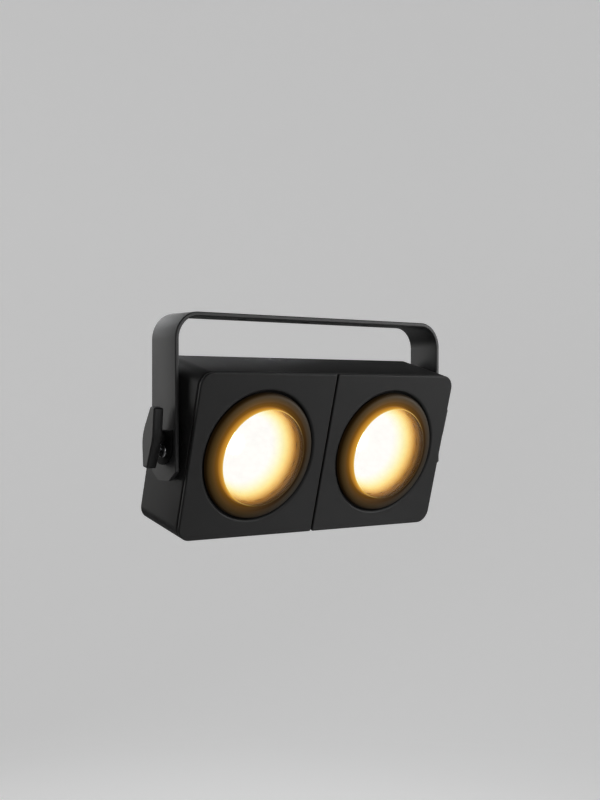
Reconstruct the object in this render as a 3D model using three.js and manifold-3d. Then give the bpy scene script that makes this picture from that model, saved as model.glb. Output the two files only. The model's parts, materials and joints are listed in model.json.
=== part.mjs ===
// Audience blinder light: one wide head with two square warm-white lamp pods, hung in a flat-strap yoke.
// Millimetres. X runs to the right of someone who faces the lenses, Y to the back and Z up.
// The origin is the middle of the clamp hole, on the top face of the yoke's bar.

import * as THREE from "three";
import { mergeVertices } from "three/addons/utils/BufferGeometryUtils.js";
import Module from "manifold-3d";

const wasm = await Module();
wasm.setup();

// Clearances
const seatGap = 0.25; // between a piece and what it is seated on
const runningGap = 0.1; // around a stud, screw or button in its hole
const cutOverrun = 1; // how far a cutter reaches past the faces that it cuts

// Roundness: sides of a full circle, and steps of a corner or an edge
const openingSides = 60;
const lensSides = 36;
const innerSides = 16;
const screwSides = 10;
const studSides = 24;
const bodyCornerSteps = 5;
const smallCornerSteps = 2;
const edgeSteps = 2;

// Yoke
const yokeWidth = 422;
const strapWidth = 50;
const strapThickness = 5;
const strapEdgeRound = 0.8;
const yokeBendRadius = 32;
const armLength = 194;
const armEndReach = 14; // of the cut corners, along the arm's lower edge
const armEndDrop = 11; // of the cut corners, up the arm's side
const clampHoleRadius = 6.5;
const sideHoleRadius = 5.5;
const sideHoleSpacing = 198;

// Tilt pivot, with the clamping knobs and the tilt-lock screws beside it
const pivotDrop = 144; // below the top face of the bar
const headTilt = 15; // degrees, lenses turned down
const studRadius = 5;
const studInnerReach = 16; // into the head from its side
const studKnobReach = 8; // into the wing of the knob
const lockScrewDrop = 16; // below the pivot
const lockScrewShift = 3; // in front of the pivot
const lockShankRadius = 4;
const lockHeadRadius = 8;
const lockHeadHeight = 3;
const lockSocketRadius = 3.6;
const lockSocketDepth = 2.2;
const hexSides = 6;
const lockPlateThickness = 2;
const lockPlateWidth = 40;
const lockPlateTop = 8; // above the pivot
const lockPlateRoundDrop = 12; // centre of its round lower end, below the pivot
const knobHubRadius = 7.5;
const knobHubLength = 6.5;
const wingThickness = 13;
const wingLength = 71;
const wingWidth = 23;
const wingEndWidth = 9;
const wingEdgeRound = 2;
const wingMiddleShare = 0.24; // of the wing's half length that its middle curve takes
const leftWingLean = 12; // degrees, upper end towards the front
const rightWingLean = 24; // degrees, as the left one's
const bossFlangeRadius = 23;
const bossFlangeThickness = 3;
const bossNeckRadius = 13;
const bossNeckLength = 14;
const frictionWasherRadius = 22;

// Head
const headWidth = 400;
const headHeight = 201;
const headDepth = 85;
const bodyCornerRadius = 17;
const pivotBehindFace = 42.5;
const pivotAboveMiddle = 13.5;
const housingWall = 3;
const housingBackRound = 2.5;
const coverThickness = 4.5;
const coverEdgeRound = 1.5;
const coverSeam = 2;
const coverSeamCorner = 2.5;
const coverGasketThickness = 1;
const coverGasketInset = 3;
const coverGasketWidth = 8;
const wireHoleWidth = 30;
const wireHoleHeight = 44;
const wireHoleCorner = 6;

// Lens and what holds it; rises are in front of the face plane, depths are behind it
const openingRadius = 80.4;
const bezelOuterRadius = 77.5;
const bezelCrestRadius = 71;
const bezelInnerRadius = 61.5;
const bezelEdgeRise = 0.5;
const bezelCrestRise = 4.5;
const bezelLipRise = 2.2;
const bezelBackDepth = 3;
const bezelCurveSteps = 3;
const lensRimRadius = 59.5;
const lensRimRise = 7;
const lensDomeHeight = 5.5;
const lensDomeSteps = 4;
const lensEdgeRound = 1;
const lensFlangeRadius = 64.5;
const lensFlangeRise = 0.5;
const lensBackDepth = 3;
const lensGasketWidth = 6.5;
const lensGasketThickness = 2;
const holderSeatLip = 6.5;
const holderSeatThickness = 3.5;
const holderFlangeRadius = 88;
const holderFlangeThickness = 3.25;
const holderSleeveRadius = 70;
const holderSleeveWall = 3.5;
const holderSleeveLength = 14;

// Light engine
const reflectorMouthRadius = 56.5;
const reflectorThroatRadius = 15;
const reflectorWall = 1.2;
const reflectorSteps = 4;
const emitterRadius = 13;
const emitterThickness = 1.2;
const boardSize = 46;
const boardCorner = 3;
const boardThickness = 2;
const boardFrontDepth = 52;
const sinkBossRadius = 34;
const sinkWidth = 122;
const sinkHeight = 164;
const sinkCorner = 4;
const sinkBaseThickness = 6;
const finCount = 13;
const finThickness = 2.4;
const finLength = 25;
const finInset = 3;
const leadRadius = 0.9;
const leadRise = 16;
const leadSides = 4;
const leadSteps = 8;
const leadBowShare = 0.45; // of the lead's run, how far its bend lies from each end

// Driver inside the head
const driverWidth = 36;
const driverHeight = 136;
const driverDepth = 30;
const driverCorner = 3;
const driverEarHeight = 160;
const driverEarThickness = 3;

// Connector box on the back
const boxWidth = 74;
const boxHeight = 160;
const boxDepth = 32;
const boxCorner = 6;
const boxWall = 2.5;
const panelThickness = 2.5;
const panelLowMargin = 6.5; // under the lower connectors
const panelHighMargin = 13; // over the safety eye's base
const panelGapShares = [30, 79, 74, 170]; // between the rows, from the lower connectors to the eye
const panelScrewInset = 6;
const panelScrewRadius = 1.5;
const panelScrewHeadRadius = 3;
const panelScrewHeadHeight = 2;
const panelScrewLength = 10;
const panelPostRadius = 4;
const connectorFlangeWidth = 26;
const connectorFlangeHeight = 31;
const connectorFlangeCorner = 3;
const connectorFlangeThickness = 2.5;
const connectorColumn = 16; // from the middle line
const connectorBodyRadius = 11.5;
const connectorBodyLength = 18; // inside the box
const connectorCollarHeight = 3; // out of the flange
const socketRadius = 9;
const socketDepth = 15;
const displayWidth = 34;
const displayHeight = 16;
const displayCorner = 2;
const displayLip = 2;
const displayLipThickness = 1.25;
const displayModuleDepth = 4.5;
const buttonRadius = 3.4;
const buttonFlangeRadius = 4.6;
const buttonFlangeThickness = 1.2;
const buttonProud = 1.75;
const buttonTravel = 1;
const buttonSpacing = 12;
const buttonCount = 4;
const switchRadius = 2.2;
const controlBoardWidth = 60;
const controlBoardOver = 14; // past the display's middle
const controlBoardUnder = 8; // past the buttons' middles
const controlBoardCorner = 2;
const controlBoardThickness = 1.6;

// Safety eye and vent plug
const eyeBaseRadius = 9;
const eyeBaseThickness = 4;
const eyeRingRadius = 10;
const eyeRodRadius = 3;
const eyeRingSides = 16;
const eyeRodSides = 6;
const eyeStemRadius = 4;
const eyeStemLength = 9;
const ventColumn = 180;
const ventRise = -60;
const ventStemRadius = 4.5;
const ventHeadRadius = 7.5;
const ventHeadHeight = 3.5;

// Places that follow from the sizes above
const podMiddle = (headWidth / 2 + coverSeam / 2) / 2;
const housingFront = coverThickness + coverGasketThickness + seatGap + seatGap;
const backWallInside = headDepth - housingWall;
const sinkFront = boardFrontDepth + boardThickness + seatGap;
const sinkBaseFront = headDepth + seatGap;
const sinkBaseBack = sinkBaseFront + sinkBaseThickness;
const holderFront = bezelBackDepth + seatGap;
const holderFlangeFront = coverThickness + seatGap;
const holderFlangeBack = holderFlangeFront + holderFlangeThickness;
const holderBack = holderFlangeBack + holderSleeveLength;
const lensSeatRadius = lensFlangeRadius + seatGap + seatGap;
const gasketFront = lensBackDepth + seatGap;
const gasketBack = gasketFront + lensGasketThickness;
const holderSeatFront = gasketBack + seatGap;
const holderSeatBack = holderSeatFront + holderSeatThickness;
const reflectorFront = holderSeatBack + seatGap;
const reflectorBack = boardFrontDepth - seatGap;
const boxFront = headDepth + seatGap;
const boxBack = boxFront + boxDepth;
const panelInside = boxBack + seatGap;
const panelOutside = panelInside + panelThickness;
const panelRowHeights = [
  connectorFlangeHeight,
  connectorFlangeHeight,
  buttonFlangeRadius * 2,
  displayHeight,
  eyeBaseRadius * 2,
];
const [connectorRowLow, connectorRowHigh, buttonRise, displayRise, eyeRise] = panelRows();
const controlBoardTop = displayRise + controlBoardOver;
const controlBoardBottom = buttonRise - controlBoardUnder;
const panelSeat = panelOutside + seatGap;
const displayLipBack = panelInside - seatGap;
const displayLipFront = displayLipBack - displayLipThickness;
const moduleBack = displayLipFront - seatGap;
const controlBoardBack = moduleBack - displayModuleDepth;
const buttonFlangeBack = panelInside - seatGap;
const buttonFlangeFront = buttonFlangeBack - buttonFlangeThickness;
const armInside = yokeWidth / 2 - strapThickness;
const armOutside = yokeWidth / 2;
const lockPlateOutside = armOutside + seatGap + lockPlateThickness;
const knobInner = lockPlateOutside + seatGap;
const wingInner = knobInner + knobHubLength;
const wingOuter = wingInner + wingThickness;
const bossFlangeInner = headWidth / 2 + seatGap;
const bossFlangeOuter = bossFlangeInner + bossFlangeThickness;

// Finishes
const finishes = {
  powderCoat: { color: 0x2b2b2d, roughness: 0.62, metalness: 0.2 },
  mouldedBlack: { color: 0x232325, roughness: 0.5, metalness: 0 },
  blackPlate: { color: 0x161616, roughness: 0.7, metalness: 0 },
  bezelBlack: { color: 0x241f1b, roughness: 0.4, metalness: 0.1 },
  chrome: { color: 0xd8d8da, roughness: 0.15, metalness: 1 },
  steel: { color: 0x9b9da0, roughness: 0.35, metalness: 1 },
  aluminium: { color: 0xb4b6b8, roughness: 0.4, metalness: 1 },
  anodised: { color: 0x1c1c1e, roughness: 0.45, metalness: 0.6 },
  rubber: { color: 0x101010, roughness: 0.9, metalness: 0 },
  lens: { color: 0xfff0c8, roughness: 0.2, metalness: 0 },
  reflector: { color: 0xe6e2da, roughness: 0.12, metalness: 1 },
  circuit: { color: 0x1d4a2c, roughness: 0.5, metalness: 0 },
  emitter: { color: 0xf0c430, roughness: 0.6, metalness: 0 },
  bluePlastic: { color: 0x1f4f9c, roughness: 0.45, metalness: 0 },
  greyPlastic: { color: 0x8d9094, roughness: 0.45, metalness: 0 },
  display: { color: 0x0b1420, roughness: 0.1, metalness: 0 },
};

// Middles of the rear panel's rows, from the lowest up: the free height is shared out between them.
function panelRows() {
  const total = (values) => values.reduce((sum, value) => sum + value, 0);
  const free = boxHeight - panelLowMargin - panelHighMargin - total(panelRowHeights);
  const middles = [];
  let edge = panelLowMargin - boxHeight / 2;
  panelRowHeights.forEach((height, row) => {
    middles.push(edge + height / 2);
    edge += height + (free * (panelGapShares[row] ?? 0)) / total(panelGapShares);
  });
  return middles;
}

// Geometry helpers

function radians(degrees) {
  return THREE.MathUtils.degToRad(degrees);
}

function trueTriangles(index) {
  const kept = [];
  for (let i = 0; i < index.length; i += 3) {
    const corners = new Set([index[i], index[i + 1], index[i + 2]]);
    if (corners.size === 3) {
      kept.push(index[i], index[i + 1], index[i + 2]);
    }
  }
  return kept;
}

function signedVolume(positions, triangles) {
  const corner = (i) => new THREE.Vector3().fromArray(positions, triangles[i] * 3);
  let total = 0;
  for (let i = 0; i < triangles.length; i += 3) {
    total += corner(i).dot(corner(i + 1).cross(corner(i + 2)));
  }
  return total / 6;
}

// Shared corners are merged, empty triangles dropped and the faces turned outwards.
function closed(geometry) {
  const bare = geometry.clone();
  bare.deleteAttribute("normal");
  bare.deleteAttribute("uv");
  const merged = mergeVertices(bare);
  const positions = merged.attributes.position.array;
  const triangles = trueTriangles(merged.index.array);
  if (signedVolume(positions, triangles) < 0) {
    triangles.reverse();
  }
  const result = new THREE.BufferGeometry();
  result.setAttribute("position", new THREE.BufferAttribute(positions, 3));
  result.setIndex(triangles);
  return result;
}

function toSolid(geometry) {
  const shell = closed(geometry);
  const vertProperties = new Float32Array(shell.attributes.position.array);
  const triVerts = new Uint32Array(shell.index.array);
  return new wasm.Manifold(new wasm.Mesh({ numProp: 3, vertProperties, triVerts }));
}

function fromSolid(solid) {
  const mesh = solid.getMesh();
  const geometry = new THREE.BufferGeometry();
  geometry.setAttribute("position", new THREE.BufferAttribute(new Float32Array(mesh.vertProperties), 3));
  geometry.setIndex([...mesh.triVerts]);
  return geometry;
}

function cut(body, ...tools) {
  return fromSolid(tools.reduce((solid, tool) => solid.subtract(toSolid(tool)), toSolid(body)));
}

function join(body, ...others) {
  return fromSolid(others.reduce((solid, other) => solid.add(toSolid(other)), toSolid(body)));
}

function common(body, other) {
  return fromSolid(toSolid(body).intersect(toSolid(other)));
}

function roundedRect(width, height, radius) {
  const right = width / 2 - radius;
  const top = height / 2 - radius;
  const shape = new THREE.Shape();
  shape.absarc(right, -top, radius, -Math.PI / 2, 0, false);
  shape.absarc(right, top, radius, 0, Math.PI / 2, false);
  shape.absarc(-right, top, radius, Math.PI / 2, Math.PI, false);
  shape.absarc(-right, -top, radius, Math.PI, Math.PI * 1.5, false);
  shape.closePath();
  return shape;
}

// A shape drawn across and up, made solid between two depths, with its outline edges rounded at both.
function slab(shape, front, back, edgeRound = 0, steps = smallCornerSteps) {
  const geometry = new THREE.ExtrudeGeometry(shape, {
    depth: back - front - edgeRound - edgeRound,
    curveSegments: steps,
    bevelEnabled: edgeRound > 0,
    bevelThickness: edgeRound,
    bevelSize: edgeRound,
    bevelOffset: -edgeRound,
    bevelSegments: edgeSteps,
  });
  geometry.rotateX(Math.PI / 2);
  geometry.translate(0, back - edgeRound, 0);
  return geometry;
}

// The same, with only the edges at the front or only those at the back rounded.
function slabRoundedInFront(shape, front, back, edgeRound, steps) {
  const reach = wideReach();
  const behind = block(-reach, reach, back, back + reach, -reach, reach);
  return cut(slab(shape, front, back + edgeRound + edgeRound, edgeRound, steps), behind);
}

function slabRoundedBehind(shape, front, back, edgeRound, steps) {
  const reach = wideReach();
  const ahead = block(-reach, reach, front - reach, front, -reach, reach);
  return cut(slab(shape, front - edgeRound - edgeRound, back, edgeRound, steps), ahead);
}

// Far enough to pass any outline of the head.
function wideReach() {
  return headWidth + headHeight;
}

function block(left, right, front, back, bottom, top) {
  const geometry = new THREE.BoxGeometry(right - left, back - front, top - bottom);
  geometry.translate((left + right) / 2, (front + back) / 2, (bottom + top) / 2);
  return geometry;
}

// A profile of radius and depth pairs, turned about the depth axis.
function turned(profile, sides) {
  return new THREE.LatheGeometry(profile.map(([radius, depth]) => new THREE.Vector2(radius, depth)), sides);
}

function disc(radius, front, back, sides) {
  return turned([[0, front], [radius, front], [radius, back], [0, back]], sides);
}

function ring(inner, outer, front, back, sides) {
  return turned([[inner, front], [outer, front], [outer, back], [inner, back], [inner, front]], sides);
}

function movedTo(geometry, across, up) {
  geometry.translate(across, 0, up);
  return geometry;
}

function alongX(geometry) {
  geometry.rotateZ(-Math.PI / 2);
  return geometry;
}

function alongZ(geometry) {
  geometry.rotateX(Math.PI / 2);
  return geometry;
}

// Yoke pieces

function yokeOutline() {
  const half = yokeWidth / 2;
  const middle = half - yokeBendRadius;
  const innerBend = yokeBendRadius - strapThickness;
  const shape = new THREE.Shape();
  shape.moveTo(-half, -armLength);
  shape.lineTo(-half, -yokeBendRadius);
  shape.absarc(-middle, -yokeBendRadius, yokeBendRadius, Math.PI, Math.PI / 2, true);
  shape.absarc(middle, -yokeBendRadius, yokeBendRadius, Math.PI / 2, 0, true);
  shape.lineTo(half, -armLength);
  shape.lineTo(half - strapThickness, -armLength);
  shape.absarc(middle, -yokeBendRadius, innerBend, 0, Math.PI / 2, false);
  shape.absarc(-middle, -yokeBendRadius, innerBend, Math.PI / 2, Math.PI, false);
  shape.lineTo(-half + strapThickness, -armLength);
  shape.closePath();
  return shape;
}

// The arm seen from its side: a strip with both lower corners cut off.
function armSideOutline() {
  const half = strapWidth / 2;
  const shape = new THREE.Shape();
  shape.moveTo(-half - cutOverrun, cutOverrun);
  shape.lineTo(-half - cutOverrun, -armLength + armEndDrop);
  shape.lineTo(-half, -armLength + armEndDrop);
  shape.lineTo(-half + armEndReach, -armLength);
  shape.lineTo(half - armEndReach, -armLength);
  shape.lineTo(half, -armLength + armEndDrop);
  shape.lineTo(half + cutOverrun, -armLength + armEndDrop);
  shape.lineTo(half + cutOverrun, cutOverrun);
  shape.closePath();
  return shape;
}

function barHole(radius, across) {
  const drill = alongZ(disc(radius, -strapThickness - cutOverrun, cutOverrun, innerSides));
  drill.translate(across, 0, 0);
  return drill;
}

function armHoles(radius, sides, front, rise) {
  const reach = armOutside + cutOverrun;
  const drill = alongX(disc(radius, -reach, reach, sides));
  drill.translate(0, front, rise);
  return drill;
}

function yokeBracket() {
  const strap = slab(yokeOutline(), -strapWidth / 2, strapWidth / 2, strapEdgeRound, bodyCornerSteps);
  const sideReach = armOutside + cutOverrun;
  const side = new THREE.ExtrudeGeometry(armSideOutline(), { depth: sideReach * 2, bevelEnabled: false });
  side.rotateX(Math.PI / 2);
  side.rotateZ(Math.PI / 2);
  side.translate(-sideReach, 0, 0);
  return cut(
    common(strap, side),
    barHole(clampHoleRadius, 0),
    barHole(sideHoleRadius, sideHoleSpacing / 2),
    barHole(sideHoleRadius, -sideHoleSpacing / 2),
    armHoles(studRadius + runningGap, studSides, 0, -pivotDrop),
    armHoles(lockShankRadius + runningGap, screwSides, -lockScrewShift, -pivotDrop - lockScrewDrop),
  );
}

// The pieces at the pivot are drawn with the pivot axis as the depth axis, measured from the yoke's middle.
// Across is then towards the front on the right side.

function lockPlateOutline() {
  const half = lockPlateWidth / 2;
  const shape = new THREE.Shape();
  shape.moveTo(half, lockPlateTop);
  shape.lineTo(-half, lockPlateTop);
  shape.absarc(0, -lockPlateRoundDrop, half, Math.PI, Math.PI * 2, false);
  shape.closePath();
  return shape;
}

function lockPlate(frontSign) {
  const front = armOutside + seatGap;
  const back = lockPlateOutside;
  const plate = slab(lockPlateOutline(), front, back);
  const studHole = disc(studRadius + runningGap, front - cutOverrun, back + cutOverrun, studSides);
  const screwHole = disc(lockShankRadius + runningGap, front - cutOverrun, back + cutOverrun, screwSides);
  return cut(plate, studHole, movedTo(screwHole, frontSign * lockScrewShift, -lockScrewDrop));
}

function lockScrew() {
  const headSeat = lockPlateOutside + seatGap;
  const headTop = headSeat + lockHeadHeight;
  const head = disc(lockHeadRadius, headSeat, headTop, innerSides);
  const shank = disc(lockShankRadius, armInside + seatGap, headSeat + lockHeadHeight / 2, screwSides);
  const socket = disc(lockSocketRadius, headTop - lockSocketDepth, headTop + cutOverrun, hexSides);
  return cut(join(head, shank), socket);
}

function wingOutline() {
  const halfLength = wingLength / 2;
  const halfWidth = wingWidth / 2;
  const halfEnd = wingEndWidth / 2;
  const bend = halfLength * wingMiddleShare;
  const bendWidth = THREE.MathUtils.lerp(halfWidth, halfEnd, wingMiddleShare);
  const shape = new THREE.Shape();
  shape.moveTo(-halfEnd, -halfLength);
  shape.lineTo(halfEnd, -halfLength);
  shape.lineTo(bendWidth, -bend);
  shape.quadraticCurveTo(halfWidth, 0, bendWidth, bend);
  shape.lineTo(halfEnd, halfLength);
  shape.lineTo(-halfEnd, halfLength);
  shape.lineTo(-bendWidth, bend);
  shape.quadraticCurveTo(-halfWidth, 0, -bendWidth, -bend);
  shape.closePath();
  return shape;
}

function tiltKnob() {
  const wing = slab(wingOutline(), wingInner, wingOuter, wingEdgeRound);
  const hub = disc(knobHubRadius, knobInner, wingInner + wingEdgeRound, innerSides);
  const boreEnd = wingInner + studKnobReach + seatGap;
  const bore = disc(studRadius + runningGap, knobInner - cutOverrun, boreEnd, studSides);
  return cut(join(wing, hub), bore);
}

function knobStud() {
  return disc(studRadius, headWidth / 2 - studInnerReach, wingInner + studKnobReach, studSides);
}

function pivotBoss() {
  const bore = studRadius + runningGap;
  const neckEnd = headWidth / 2 - bossNeckLength;
  return turned([
    [bore, neckEnd],
    [bossNeckRadius, neckEnd],
    [bossNeckRadius, bossFlangeInner],
    [bossFlangeRadius, bossFlangeInner],
    [bossFlangeRadius, bossFlangeOuter],
    [bore, bossFlangeOuter],
    [bore, neckEnd],
  ], studSides);
}

function frictionWasher() {
  const bore = studRadius + seatGap;
  return ring(bore, frictionWasherRadius, bossFlangeOuter + seatGap, armInside - seatGap, innerSides);
}

// Head casing

function mainHousing() {
  const outer = roundedRect(headWidth, headHeight, bodyCornerRadius);
  const inner = roundedRect(
    headWidth - housingWall - housingWall,
    headHeight - housingWall - housingWall,
    bodyCornerRadius - housingWall,
  );
  const wireHole = roundedRect(wireHoleWidth, wireHoleHeight, wireHoleCorner);
  const wallFront = backWallInside - cutOverrun;
  const wallBack = headDepth + cutOverrun;
  const bossHole = () => disc(sinkBossRadius + seatGap, wallFront, wallBack, innerSides);
  const ventHole = disc(ventStemRadius + runningGap, wallFront, wallBack, screwSides);
  const sideReach = headWidth / 2 + cutOverrun;
  const pivotHoles = alongX(disc(bossNeckRadius + seatGap, -sideReach, sideReach, innerSides));
  pivotHoles.translate(0, pivotBehindFace, pivotAboveMiddle);
  return cut(
    slabRoundedBehind(outer, housingFront, headDepth, housingBackRound, bodyCornerSteps),
    slab(inner, housingFront - cutOverrun, backWallInside, 0, bodyCornerSteps),
    slab(wireHole, wallFront, wallBack),
    movedTo(bossHole(), podMiddle, 0),
    movedTo(bossHole(), -podMiddle, 0),
    movedTo(ventHole, ventColumn, ventRise),
    pivotHoles,
  );
}

// Outline of one pod's cover, right of the seam.
function coverOutline() {
  const left = coverSeam / 2 + coverSeamCorner;
  const right = headWidth / 2 - bodyCornerRadius;
  const seamRise = headHeight / 2 - coverSeamCorner;
  const bodyRise = headHeight / 2 - bodyCornerRadius;
  const shape = new THREE.Shape();
  shape.absarc(left, -seamRise, coverSeamCorner, Math.PI, Math.PI * 1.5, false);
  shape.absarc(right, -bodyRise, bodyCornerRadius, -Math.PI / 2, 0, false);
  shape.absarc(right, bodyRise, bodyCornerRadius, 0, Math.PI / 2, false);
  shape.absarc(left, seamRise, coverSeamCorner, Math.PI / 2, Math.PI, false);
  shape.closePath();
  return shape;
}

function frontCover() {
  const plate = slabRoundedInFront(coverOutline(), 0, coverThickness, coverEdgeRound, bodyCornerSteps);
  const opening = disc(openingRadius, -cutOverrun, coverThickness + cutOverrun, openingSides);
  return cut(plate, movedTo(opening, podMiddle, 0));
}

function coverGasket() {
  const front = coverThickness + seatGap;
  const back = front + coverGasketThickness;
  const edge = (inset) =>
    roundedRect(headWidth - inset * 2, headHeight - inset * 2, bodyCornerRadius - inset);
  const opening = slab(edge(coverGasketInset + coverGasketWidth), front - cutOverrun, back + cutOverrun);
  return cut(slab(edge(coverGasketInset), front, back), opening);
}

// Lens group, turned about the lens axis

function bezelRing() {
  const outerSpan = bezelOuterRadius - bezelCrestRadius;
  const innerSpan = bezelCrestRadius - bezelInnerRadius;
  const profile = [[lensSeatRadius, bezelBackDepth], [bezelOuterRadius, bezelBackDepth]];
  for (let step = 0; step <= bezelCurveSteps; step += 1) {
    const angle = (step / bezelCurveSteps) * (Math.PI / 2);
    const rise = bezelEdgeRise + (bezelCrestRise - bezelEdgeRise) * Math.sin(angle);
    profile.push([bezelCrestRadius + outerSpan * Math.cos(angle), -rise]);
  }
  for (let step = 1; step <= bezelCurveSteps; step += 1) {
    const angle = (step / bezelCurveSteps) * (Math.PI / 2);
    const rise = bezelLipRise + (bezelCrestRise - bezelLipRise) * Math.cos(angle);
    profile.push([bezelCrestRadius - innerSpan * (step / bezelCurveSteps), -rise]);
  }
  profile.push([bezelInnerRadius, -lensFlangeRise - seatGap]);
  profile.push([lensSeatRadius, -lensFlangeRise - seatGap]);
  profile.push([lensSeatRadius, bezelBackDepth]);
  return turned(profile, lensSides);
}

function lens() {
  const domeRadius = lensRimRadius - lensEdgeRound;
  const sphere = (domeRadius * domeRadius + lensDomeHeight * lensDomeHeight) / (lensDomeHeight * 2);
  const profile = [];
  for (let step = 0; step <= lensDomeSteps; step += 1) {
    const radius = domeRadius * (step / lensDomeSteps);
    const drop = sphere - Math.sqrt(sphere * sphere - radius * radius);
    profile.push([radius, -lensRimRise - lensDomeHeight + drop]);
  }
  profile.push([lensRimRadius, -lensRimRise + lensEdgeRound]);
  profile.push([lensRimRadius, -lensFlangeRise]);
  profile.push([lensFlangeRadius, -lensFlangeRise]);
  profile.push([lensFlangeRadius, lensBackDepth]);
  profile.push([0, lensBackDepth]);
  return turned(profile, lensSides);
}

function lensGasket() {
  const inner = lensFlangeRadius - lensGasketWidth;
  return ring(inner, lensFlangeRadius, gasketFront, gasketBack, innerSides);
}

function lensHolder() {
  const bore = lensSeatRadius - holderSeatLip;
  const sleeveBore = holderSleeveRadius - holderSleeveWall;
  return turned([
    [bore, holderSeatFront],
    [lensSeatRadius, holderSeatFront],
    [lensSeatRadius, holderFront],
    [bezelOuterRadius, holderFront],
    [bezelOuterRadius, holderFlangeFront],
    [holderFlangeRadius, holderFlangeFront],
    [holderFlangeRadius, holderFlangeBack],
    [holderSleeveRadius, holderFlangeBack],
    [holderSleeveRadius, holderBack],
    [sleeveBore, holderBack],
    [sleeveBore, holderSeatBack],
    [bore, holderSeatBack],
    [bore, holderSeatFront],
  ], innerSides);
}

// A parabola between the throat and the mouth, as radius for a share of the depth from the mouth.
function reflectorRadius(share) {
  const throat = reflectorThroatRadius * reflectorThroatRadius;
  const mouth = reflectorMouthRadius * reflectorMouthRadius;
  return Math.sqrt(mouth + (throat - mouth) * share);
}

function reflector() {
  const lipRadius = holderSleeveRadius - holderSleeveWall - seatGap;
  const lipBack = reflectorFront + reflectorWall;
  const inside = [];
  const outside = [];
  for (let step = 0; step <= reflectorSteps; step += 1) {
    const share = step / reflectorSteps;
    inside.push([reflectorRadius(share), THREE.MathUtils.lerp(reflectorFront, reflectorBack, share)]);
    outside.push([
      reflectorRadius(share) + reflectorWall,
      THREE.MathUtils.lerp(lipBack, reflectorBack, share),
    ]);
  }
  const lip = [[lipRadius, lipBack], [lipRadius, reflectorFront]];
  return turned([...inside, ...outside.reverse(), ...lip, inside[0]], innerSides);
}

function ledEmitter() {
  const back = boardFrontDepth - seatGap;
  return disc(emitterRadius, back - emitterThickness, back, innerSides);
}

function ledBoard() {
  const shape = roundedRect(boardSize, boardSize, boardCorner);
  return slab(shape, boardFrontDepth, boardFrontDepth + boardThickness);
}

function heatSink() {
  const base = slab(roundedRect(sinkWidth, sinkHeight, sinkCorner), sinkBaseFront, sinkBaseBack);
  const core = disc(sinkBossRadius, sinkFront, sinkBaseFront + sinkBaseThickness / 2, innerSides);
  const finPitch = (sinkWidth - finInset * 2 - finThickness) / (finCount - 1);
  const finRoot = sinkBaseBack - sinkBaseThickness / 2;
  const finTip = sinkBaseBack + finLength;
  const top = sinkHeight / 2 - finInset;
  const fins = [];
  for (let index = 0; index < finCount; index += 1) {
    const left = -sinkWidth / 2 + finInset + finPitch * index;
    fins.push(block(left, left + finThickness, finRoot, finTip, -top, top));
  }
  return join(base, core, ...fins);
}

// The lead runs from the driver's side to the edge of the board.
function ledLead() {
  const start = new THREE.Vector3(driverWidth / 2 + seatGap, boardFrontDepth + driverDepth / 2, leadRise);
  const boardEdge = podMiddle - boardSize / 2;
  const end = new THREE.Vector3(boardEdge - seatGap, boardFrontDepth + leadRadius, leadRise);
  const run = end.x - start.x;
  const bow = run * leadBowShare;
  const path = new THREE.CubicBezierCurve3(
    start,
    new THREE.Vector3(start.x + bow, start.y, start.z),
    new THREE.Vector3(end.x - bow, end.y, end.z),
    end,
  );
  const section = new THREE.Shape();
  section.absarc(0, 0, leadRadius, 0, Math.PI * 2, false);
  return new THREE.ExtrudeGeometry(section, {
    steps: leadSteps,
    curveSegments: leadSides,
    extrudePath: path,
    bevelEnabled: false,
  });
}

function ledDriver() {
  const back = backWallInside - seatGap;
  const canShape = roundedRect(driverWidth, driverHeight, driverCorner);
  const earShape = roundedRect(driverWidth, driverEarHeight, driverCorner);
  return join(slab(canShape, back - driverDepth, back), slab(earShape, back - driverEarThickness, back));
}

// Connector box

function boxScrewPlaces() {
  const across = boxWidth / 2 - panelScrewInset;
  const up = boxHeight / 2 - panelScrewInset;
  return [[across, up], [-across, up], [-across, -up], [across, -up]];
}

function connectorPlaces() {
  return {
    power_inlet: [-connectorColumn, connectorRowLow],
    power_outlet: [connectorColumn, connectorRowLow],
    data_inlet: [-connectorColumn, connectorRowHigh],
    data_outlet: [connectorColumn, connectorRowHigh],
  };
}

function buttonPlaces() {
  const first = (-buttonSpacing * (buttonCount - 1)) / 2;
  return Array.from({ length: buttonCount }, (_, index) => [first + buttonSpacing * index, buttonRise]);
}

function connectorBox() {
  const outer = slab(roundedRect(boxWidth, boxHeight, boxCorner), boxFront, boxBack);
  const innerShape = roundedRect(boxWidth - boxWall * 2, boxHeight - boxWall * 2, boxCorner - boxWall);
  const floor = boxFront + boxWall;
  const inner = slab(innerShape, floor, boxBack + cutOverrun);
  const wireShape = roundedRect(wireHoleWidth, wireHoleHeight, wireHoleCorner);
  const wireHole = slab(wireShape, boxFront - cutOverrun, floor + cutOverrun);
  const post = () => disc(panelPostRadius, boxFront + boxWall / 2, boxBack, screwSides);
  const holeFront = boxBack - panelScrewLength;
  const hole = () => disc(panelScrewRadius + runningGap, holeFront, boxBack + cutOverrun, screwSides);
  const posts = boxScrewPlaces().map(([across, up]) => movedTo(post(), across, up));
  const holes = boxScrewPlaces().map(([across, up]) => movedTo(hole(), across, up));
  return cut(join(cut(outer, inner, wireHole), ...posts), ...holes);
}

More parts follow.
